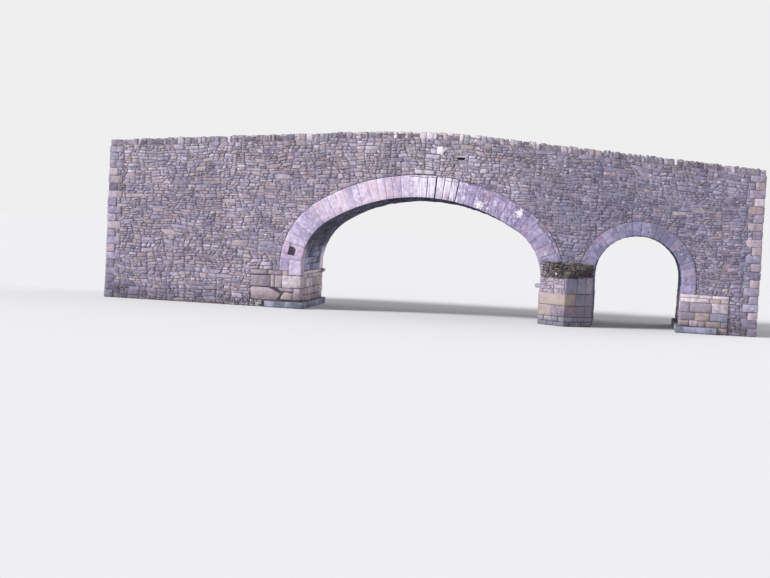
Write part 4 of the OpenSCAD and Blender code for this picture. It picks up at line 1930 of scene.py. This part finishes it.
@dataclass(frozen=True)
class StoneFinish:
    """Weathered stone whose colour changes from stone to stone, with dirt, damp and lichen, and painted shade
    high under an arch where that is set.
    """

    name: str
    dark: Colour
    plain: Colour
    pale: Colour
    warm: Colour
    cool: Colour
    ochre: Colour | None = None
    stain: Colour | None = None
    dirt: Colour = seen(84, 76, 90)
    lichen: Colour = seen(232, 228, 238)
    film: Colour = seen(104, 106, 74)
    foot_film: Colour = seen(84, 90, 68)
    damp: Colour = seen(96, 92, 104)
    mottle: float = 1.0
    lichen_reach: float = 0.5
    dirt_reach: float = 0.4
    edge_dirt: float = 0.45
    top_growth: float = 0.5
    crest: float = 0.0
    damp_to: float = 0.7
    grain: float = 1.0
    streaks: float = 0.0
    # Colour of the painted shade on the undersides of the ring stones high in an arch.
    soffit: Colour | None = None
    spots: tuple[tuple[float, float, float, float], ...] = ()
    runs: tuple[tuple[float, float, Colour, float], ...] = ()

    def build(self) -> None:
        """Builds the material."""
        tree = MaterialTree(self.name)
        stone = tree.node("Attribute", attribute_name="stone")
        pale, warm, shown = tree.parts(stone.outputs["Color"], "Color")
        blotch = tree.noise(7.5, 6.0, 0.64)
        broad = tree.noise(0.7, 4.0, 0.55)
        grain = tree.noise(90.0, 4.0, 0.6)
        tone = tree.sum("ADD", pale, tree.band(blotch, 0.3, 0.7, -0.16 * self.mottle, 0.16 * self.mottle))
        drift = tree.band(broad, 0.32, 0.68, -0.13 * self.mottle, 0.13 * self.mottle)
        tone = tree.sum("ADD", tone, drift, True)
        colour = tree.ramp(tone, (0.0, self.dark), (0.5, self.plain), (1.0, self.pale))
        patches = tree.band(tree.noise(3.4, 4.0), 0.34, 0.62, 0.3, 1.0)
        colour = tree.mix(tree.product(tree.band(warm, 0.45, 0.8, 0.0, 0.65), patches), colour, self.warm)
        colour = tree.mix(tree.band(warm, 0.4, 0.0, 0.0, 0.5), colour, self.cool)
        if self.ochre:
            share = tree.product(tree.band(warm, 0.78, 0.96, 0.0, 0.8), patches)
            colour = tree.mix(share, colour, self.ochre)
        if self.stain:
            share = tree.band(tree.noise(2.3, 5.0, 0.62), 0.56, 0.7, 0.0, 0.6)
            colour = tree.mix(share, colour, self.stain)
        stops = (0.3, (0.7, 0.68, 0.7)), (0.52, (1.0, 1.0, 1.0)), (0.72, (1.16, 1.15, 1.17))
        speckle = tree.ramp(grain, *stops)
        colour = tree.mix(0.7, colour, speckle, "MULTIPLY")
        crust = tree.band(tree.noise(11.0, 7.0, 0.7), 0.6 - 0.1 * self.dirt_reach, 0.74)
        colour = tree.mix(tree.product(crust, 0.7 * self.dirt_reach), colour, self.dirt)
        # Darkens the worn rims of each stone, beside its joints.
        edge = tree.band(shown, 0.0, 0.9, self.edge_dirt, 0.0)
        colour = tree.mix(tree.product(edge, tree.band(blotch, 0.3, 0.6, 0.4, 1.0)), colour, self.dirt)
        colour = self.stained(tree, colour)
        colour = self.grown(tree, colour, stone.outputs["Alpha"])
        # Painted shade: faces that look neither front nor back, high in the arch, are darkened towards the
        # soffit shade colour.
        if self.soffit:
            inner = tree.band(tree.sum("ABSOLUTE", tree.facing()[1], 0.0), 0.7, 0.35)
            high = tree.band(tree.height(), 1.7, 2.3)
            colour = tree.mix(tree.product(inner, high, 0.92), colour, self.soffit)
        pits = tree.band(tree.cells(38.0), 0.0, 0.35)
        relief = tree.noise(14.0, 6.0, 0.65)
        steps = (relief, 0.6, 0.014), (pits, 0.25, 0.003), (grain, 0.5, 0.0025)
        tree.bump(*((height, strength * self.grain, depth) for height, strength, depth in steps))
        tree.finish(colour, tree.band(blotch, 0.3, 0.7, 0.96, 0.84), 0.22)

    def stained(self, tree: MaterialTree, colour: Socket) -> Socket:
        """Adds the dark and white streaks that rain leaves.

        Args:
            tree: The material.
            colour: Colour of the clean stone.

        Returns:
            The colour with its streaks.
        """
        x, _, height = tree.parts(tree.place)
        if self.streaks:
            runs = tree.band(tree.noise(1.0, 5.0, 0.6, tree.stretched(7.0, 7.0, 0.55)), 0.52, 0.7)
            share = tree.product(runs, tree.band(height, 2.2, 4.8, 0.25, 1.0), self.streaks)
            colour = tree.mix(share, colour, self.dirt)
        for left, right, stain, strength in self.runs:
            after, before = tree.band(x, left - 0.15, left + 0.1), tree.band(x, right + 0.05, right - 0.05)
            runs = tree.band(tree.noise(1.0, 4.0, 0.55, tree.stretched(13.0, 13.0, 1.4)), 0.42, 0.56)
            colour = tree.mix(tree.product(after, before, runs, strength), colour, stain)
        return colour

    def grown(self, tree: MaterialTree, colour: Socket, lichen: Socket) -> Socket:
        """Adds the damp at the foot, and the lichen and green film that grow on the stone.

        Args:
            tree: The material.
            colour: Colour of the bare stone.
            lichen: How much lichen a stone carries.

        Returns:
            The colour with growth and damp.
        """
        height = tree.height()
        upward = tree.facing()[2]
        patches = tree.noise(9.0, 8.0, 0.72)
        wander = tree.sum("ADD", height, tree.band(tree.noise(1.6, 4.0), 0.25, 0.75, -0.28, 0.28))
        colour = tree.mix(tree.band(wander, self.damp_to, 0.02, 0.0, 0.5), colour, self.damp)
        green = tree.product(tree.band(wander, 0.34, 0.05), tree.band(patches, 0.4, 0.62), 0.4)
        colour = tree.mix(green, colour, self.foot_film)
        if self.crest:
            high = tree.product(tree.band(wander, 4.2, 5.6), tree.band(tree.noise(1.1, 6.0), 0.42, 0.6))
            colour = tree.mix(tree.product(high, self.crest), colour, self.film)
        amount = tree.product(lichen, self.lichen_reach)
        edge = tree.sum("SUBTRACT", 0.68, tree.product(amount, 0.26))
        white = tree.sum("MULTIPLY", tree.sum("SUBTRACT", patches, edge), 14.0, True)
        for *centre, radius in self.spots:
            white = tree.sum("MAXIMUM", white, self.spot(tree, tuple(centre), radius))
        ragged = tree.sum("ADD", tree.cells(6.5), tree.band(tree.noise(30.0), 0.3, 0.7, -0.14, 0.14))
        dots = tree.product(tree.band(ragged, 0.27, 0.2), tree.band(tree.noise(2.4, 2.0), 0.44, 0.56))
        white = tree.sum("MAXIMUM", white, tree.product(dots, amount, 1.7))
        colour = tree.mix(tree.product(white, 0.88), colour, self.lichen)
        tops = tree.product(tree.band(upward, 0.25, 0.8), tree.band(patches, 0.35, 0.6), self.top_growth)
        return tree.mix(tops, colour, self.film)

    def spot(self, tree: MaterialTree, centre: Spot, radius: float) -> Socket:
        """Adds one bigger white patch of lichen.

        Args:
            tree: The material.
            centre: Place of the patch.
            radius: About how far it reaches.

        Returns:
            Where it shows.
        """
        away = tree.node("VectorMath", tree.place, centre, operation="DISTANCE")
        ragged = tree.band(tree.noise(2.0 / radius, 5.0), 0.3, 0.7, -0.45 * radius, 0.45 * radius)
        return tree.band(tree.sum("ADD", away.outputs["Value"], ragged), radius, 0.8 * radius)


@dataclass(frozen=True)
class MortarFinish:
    """Old lime mortar and small packing stones, seen in the joints and wherever a stone is lost."""

    name: str
    dark: Colour
    pale: Colour
    damp: Colour = seen(66, 64, 66)
    packing: float = 24.0

    def build(self) -> None:
        """Builds the material."""
        tree = MaterialTree(self.name)
        body, sand = tree.noise(7.0, 6.0, 0.6), tree.noise(120.0, 3.0, 0.6)
        stones = tree.cells(self.packing)
        colour = tree.ramp(body, (0.3, self.dark), (0.7, self.pale))
        colour = tree.mix(tree.band(stones, 0.3, 0.05, 0.0, 0.5), colour, self.pale)
        speckle = tree.ramp(sand, (0.3, (0.7, 0.7, 0.7)), (0.7, (1.15, 1.15, 1.15)))
        colour = tree.mix(0.6, colour, speckle, "MULTIPLY")
        wander = tree.sum("ADD", tree.height(), tree.band(body, 0.25, 0.75, -0.25, 0.25))
        colour = tree.mix(tree.band(wander, 0.7, 0.05, 0.0, 0.6), colour, self.damp)
        tree.bump((tree.band(stones, 0.0, 0.4, 1.0, 0.0), 0.6, 0.012), (sand, 0.5, 0.003))
        tree.finish(colour, 0.97, 0.15)


@dataclass(frozen=True)
class RoadFinish:
    """Packed gravel and earth of the roadway, duller along its edges and its middle."""

    name: str
    earth: Colour
    gravel: Colour
    verge: Colour

    def build(self) -> None:
        """Builds the material."""
        tree = MaterialTree(self.name)
        clods, stones = tree.noise(5.0, 8.0, 0.65), tree.cells(30.0)
        colour = tree.ramp(clods, (0.32, self.earth), (0.62, self.gravel))
        colour = tree.mix(tree.band(stones, 0.25, 0.08, 0.0, 0.65), colour, self.gravel)
        across = tree.sum("ABSOLUTE", tree.parts(tree.place)[1], 0.0)
        strip = tree.sum("ADD", across, tree.band(clods, 0.3, 0.7, -0.4, 0.4))
        colour = tree.mix(tree.band(strip, 0.95, 1.25, 0.0, 0.75), colour, self.verge)
        colour = tree.mix(tree.band(strip, 0.3, 0.05, 0.0, 0.5), colour, self.verge)
        tree.bump((clods, 0.7, 0.03), (tree.band(stones, 0.0, 0.35, 1.0, 0.0), 0.7, 0.012))
        tree.finish(colour, 0.95, 0.2)


class Finish(Enum):
    """The finishes of the bridge, each with the record's slot that it shows."""

    RUBBLE = ("weathered_rubble", "rubble")
    CAP = ("ruined_cap_rubble", "rubble")
    RING = ("lichened_ring_stone", "ring_stone")
    ASHLAR = ("dressed_sandstone", "ashlar")
    VAULT = ("damp_vault_stone", "vault_stone")
    COPING = ("rough_coping_stone", "coping_stone")
    FOOTING = ("dark_footing_slab", "footing_stone")
    MORTAR = ("old_lime_mortar", "rubble")
    PALE_MORTAR = ("pale_lime_mortar", "ring_stone")
    DARK_MORTAR = ("washed_out_mortar", "vault_stone")
    ROAD = ("gravel_road", "road_surface")

    @property
    def title(self) -> str:
        """Name of its material."""
        return self.value[0]

    @property
    def material(self) -> bpy.types.Material:
        """Its material, once it is built."""
        return bpy.data.materials[self.title]

    def dress(self, piece: Piece) -> None:
        """Gives a new piece this finish.

        Args:
            piece: The piece.
        """
        piece.data.materials.clear()
        piece.data.materials.append(self.material)


def build_finishes() -> None:
    """Builds the materials of all finishes."""
    face, mid = -SIZES.proud_y - 0.02, MAIN_ARCH.centre_x
    tones = {
        Finish.RUBBLE: {
            "dark": seen(102, 96, 120), "plain": seen(160, 151, 173), "pale": seen(214, 205, 224),
            "warm": seen(186, 164, 162), "cool": seen(142, 142, 168), "stain": seen(140, 118, 128),
            "streaks": 0.45, "edge_dirt": 0.32, "mottle": 1.25, "crest": 0.24,
            "spots": ((mid + 0.48, face, 5.5, 0.18),),
        },
        Finish.CAP: {
            # The cap's dark palette is partly its brown earth and roots and partly painted shade.
            "dark": seen(46, 46, 48), "plain": seen(84, 81, 83), "pale": seen(172, 158, 166),
            "warm": seen(110, 90, 80), "cool": seen(84, 88, 94), "lichen": seen(192, 186, 196),
            "top_growth": 0.35, "grain": 1.4,
            "spots": ((mid + 4.48, -2.25, 1.68, 0.06), (mid + 4.76, -2.44, 1.62, 0.04)),
        },
        Finish.RING: {
            "dark": seen(112, 110, 134), "plain": seen(172, 162, 196), "pale": seen(236, 222, 242),
            "warm": seen(222, 192, 204), "cool": seen(160, 158, 192), "dirt": seen(104, 94, 122),
            # The soffit colour of the ring is painted shade under the arch.
            "lichen": seen(242, 240, 250), "stain": seen(172, 138, 158), "soffit": seen(58, 58, 74),
            "mottle": 1.25, "lichen_reach": 0.9, "dirt_reach": 0.5, "edge_dirt": 0.12, "streaks": 0.5,
            "runs": (
                (mid - 0.28, mid + 1.1, seen(242, 240, 250), 0.68),
                (mid + 1.1, mid + 3.5, seen(124, 102, 146), 0.5),
            ),
            "spots": ((mid + 1.86, face, 3.77, 0.12), (mid + 3.21, face, 3.58, 0.14)),
        },
        Finish.ASHLAR: {
            "dark": seen(112, 104, 122), "plain": seen(162, 152, 166), "pale": seen(238, 228, 232),
            "warm": seen(190, 168, 168), "cool": seen(138, 142, 168), "ochre": seen(164, 152, 138),
            "stain": seen(150, 128, 132),
        },
        # The vault's dark palette, lichen included, is painted shade under the arch; the damp at its foot is
        # its own.
        Finish.VAULT: {
            "dark": seen(48, 51, 66), "plain": seen(94, 96, 122), "pale": seen(188, 188, 220),
            "warm": seen(118, 108, 108), "cool": seen(84, 90, 116), "lichen": seen(170, 170, 184),
            "dirt": seen(52, 52, 64), "dirt_reach": 0.6, "damp_to": 0.6, "streaks": 0.5,
        },
        Finish.COPING: {
            "dark": seen(98, 93, 106), "plain": seen(156, 149, 162), "pale": seen(218, 212, 222),
            "warm": seen(178, 160, 160), "cool": seen(138, 138, 158), "top_growth": 0.3, "grain": 1.3,
        },
        Finish.FOOTING: {
            "dark": seen(110, 112, 132), "plain": seen(152, 152, 176), "pale": seen(186, 186, 206),
            # The dark foot of the footing is partly damp and partly painted shadow of the undercut.
            "warm": seen(150, 142, 146), "cool": seen(144, 148, 178), "damp": seen(58, 58, 72),
            "damp_to": 0.22,
        },
    }
    for finish, values in tones.items():
        StoneFinish(finish.title, **values).build()
    mortars = {
        Finish.MORTAR: (seen(108, 100, 112), seen(166, 156, 168)),
        Finish.PALE_MORTAR: (seen(150, 140, 160), seen(206, 196, 214)),
        # Dark mortar: painted shade where it shows under the vaults, on the cap and in the hole of the lost
        # ring stone.
        Finish.DARK_MORTAR: (seen(58, 56, 66), seen(104, 98, 110)),
    }
    for finish, pair in mortars.items():
        MortarFinish(finish.title, *pair).build()
    RoadFinish(Finish.ROAD.title, seen(104, 94, 84), seen(158, 150, 142), seen(106, 100, 82)).build()


def dress_solids() -> None:
    """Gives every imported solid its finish: one of the mortars, apart from the road."""
    for name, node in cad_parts.items():
        finish = Finish.MORTAR
        if name == "roadway":
            finish = Finish.ROAD
        elif name == "front_left_main_ring":
            finish = Finish.PALE_MORTAR
        # The dark mortar is painted shade under the vaults, on the cap and in the hole of the lost ring
        # stone, and darkens the joints of the left abutment.
        elif "vault" in name or "cap" in name or name in ("front_crown_main_ring", "left_abutment"):
            finish = Finish.DARK_MORTAR
        for slot in node.material_slots:
            slot.material = finish.material


@dataclass(frozen=True)
class Camera:
    """The camera of the photograph, fitted to the edges of the main arch and to the pier."""

    aside: float = 6.622
    away: float = 49.068
    height: float = 3.557
    turn_left: float = 0.1563
    look_down: float = 0.0547
    roll: float = 0.0512
    focal_px: float = 1500.0
    frame_px: float = 770.0
    sensor: float = 36.0
    sight: float = 400.0

    def build(self) -> None:
        """Adds the camera and makes it the scene's own."""
        lens = bpy.data.cameras.new("camera")
        lens.sensor_fit = "HORIZONTAL"
        lens.sensor_width = self.sensor
        lens.lens = self.focal_px / self.frame_px * self.sensor
        lens.clip_end = self.sight
        camera = bpy.data.objects.new("camera", lens)
        bpy.context.scene.collection.objects.link(camera)
        place = Vector((MAIN_ARCH.centre_x + self.aside, -SIZES.proud_y - self.away, self.height))
        turned = Matrix.Rotation(self.turn_left, 4, "Z")
        turned @= Matrix.Rotation(math.pi / 2 - self.look_down, 4, "X")
        camera.matrix_world = Matrix.Translation(place) @ turned @ Matrix.Rotation(self.roll, 4, "Z")
        bpy.context.scene.camera = camera


@dataclass(frozen=True)
class Studio:
    """Plain pale floor and soft light."""

    floor_half: float = 150.0
    floor_colour: Colour = (0.65, 0.65, 0.66)
    backdrop: float = 0.87
    sky: float = 0.5
    sky_colour: Colour = (0.99, 0.99, 1.0)
    suns: tuple[tuple[str, float, Spot, float], ...] = (
        ("key", 4.4, (-0.8, -0.38, 0.52), 0.25),
        ("fill", 1.0, (0.8, 0.5, 0.42), 1.0),
    )

    def build(self) -> None:
        """Adds the floor, the sky and the two soft suns."""
        Bench.clear()
        bpy.ops.mesh.primitive_plane_add(size=2 * self.floor_half, location=(0, 0, 0))
        floor = bpy.context.active_object
        floor.name = "studio_floor"
        tree = MaterialTree("studio_floor")
        tree.finish((*self.floor_colour, 1.0), 1.0, 0.0)
        floor.data.materials.append(tree.owner)
        Bench.clear()
        for name, strength, place, angle in self.suns:
            sun = bpy.data.lights.new(name, "SUN")
            sun.energy = strength
            sun.angle = angle
            lamp = bpy.data.objects.new(name, sun)
            lamp.rotation_euler = Vector(place).to_track_quat("Z", "Y").to_euler()
            bpy.context.scene.collection.objects.link(lamp)
        self.light_sky()
        bpy.context.scene.view_settings.view_transform = "Standard"

    def light_sky(self) -> None:
        """Makes the sky light the bridge softly and show as a pale backdrop."""
        sky = NodeTree(bpy.data.worlds.new("studio"))
        bpy.context.scene.world = sky.owner
        rays = sky.node("LightPath").outputs
        shown = sky.sum("MAXIMUM", rays["Is Camera Ray"], rays["Is Glossy Ray"])
        shown = sky.sum("MAXIMUM", shown, rays["Is Transmission Ray"])
        level = sky.node("MapRange", Value=shown, To_Min=self.sky, To_Max=self.backdrop)
        background = sky.nodes["Background"]
        sky.set(background.inputs["Strength"], level.outputs["Result"])
        sky.set(background.inputs["Color"], (*self.sky_colour, 1.0))


def main_ring_tint(over: float) -> Tint:
    """Colour of the front main ring: pale pink, whitish at the crown, purple-grey and darker on the right,
    partly painted shade of the trees.

    Args:
        over: Station, measured from the middle of the arch.

    Returns:
        The colour there.
    """
    if over < 0.15:
        pale = graded(over, (-4.1, 0.6), (-3.4, 0.68), (-1.0, 0.74), (0.1, 0.82))
    else:
        # Darker to the right: partly the stone's own tone, partly painted shade of the trees.
        pale = graded(over, (0.2, 0.66), (1.08, 0.62), (1.16, 0.58), (2.6, 0.52), (4.2, 0.3))
    warm = graded(over, (-4.5, 0.58), (-1.0, 0.6), (0.0, 0.52), (0.5, 0.42), (2.0, 0.46), (4.0, 0.35))
    lichen = graded(over, (-4.5, 0.05), (-1.0, 0.1), (0.2, 0.3), (1.1, 0.3), (1.2, 0.5), (4.0, 0.25))
    return Tint(pale, warm, lichen)


def back_ring_tint(over: float) -> Tint:
    """Colour of the back main ring, palest at the foot on the left as painted light on the lit far edge of
    the opening.
    """
    return Tint(graded(over, (-3.95, 0.95), (-3.4, 0.5)), graded(over, (-3.9, 0.7), (-3.4, 0.45)), 0.4)


def main_ring_wear(over: float) -> float:
    """How much shorter than the ring its front stones may be: most right of the crown."""
    return graded(over, (-4.0, 0.01), (-0.6, 0.02), (0.0, 0.1), (1.1, 0.14), (4.0, 0.16))


def rings() -> list[ArchRing]:
    """Lists the rings of both arches on both faces.

    Returns:
        The rings, front and back of the main arch and then of the side arch.
    """
    heaps = [
        StoneHeap(f"{face.word}_{arch}_ring_stones", seed)
        for seed, (arch, face) in enumerate(product(("main", "side"), Face), 200)
    ]
    main, side = (MAIN_ARCH, SIZES.main_ring), (SIDE_ARCH, SIZES.side_ring)
    # The front side ring is dark, partly its own dull stone and partly painted shade of the trees.
    dull_in_tree_shade, hidden = Tint(0.1, 0.4, 0.12), Tint(0.5, 0.45, 0.4)
    tight = {"joint": (0.0, 0.001), "edge": 0.006}
    small = {"springer": 0.3, "widths": (0.16, 0.27)}
    return [
        MainRing(heaps[0], *main, Face.FRONT, main_ring_tint, ragged=main_ring_wear, **tight),
        ArchRing(heaps[1], *main, Face.BACK, back_ring_tint),
        ArchRing(heaps[2], *side, Face.FRONT, lambda over: dull_in_tree_shade, **small, **tight),
        ArchRing(heaps[3], *side, Face.BACK, lambda over: hidden, **small),
    ]


def main() -> None:
    """Builds the bridge and its setting, and reports each piece."""
    logging.basicConfig(level=logging.INFO, format="%(name)s: %(message)s")
    Camera().build()
    Studio().build()
    build_finishes()
    dress_solids()
    parts = (
        *(Walls(face) for face in Face),
        EndWall(StoneHeap("left_end_stones", 70), SIZES.left_end, -1.0),
        EndWall(StoneHeap("right_end_stones", 71), SIZES.right_end, 1.0),
        Abutments(),
        *rings(),
        Vault(StoneHeap("main_vault_stones", 210), MAIN_ARCH, 0.11),
        Vault(StoneHeap("side_vault_stones", 211), SIDE_ARCH, 0.03),
        Pier(),
        *(CutwaterCap(face) for face in Face),
        Coping(),
        Roadway(),
    )
    for part in parts:
        for piece in part.build():
            LOG.info("%s: %d faces", piece.name, len(piece.data.polygons))
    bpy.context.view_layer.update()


if __name__ == "__main__":
    main()
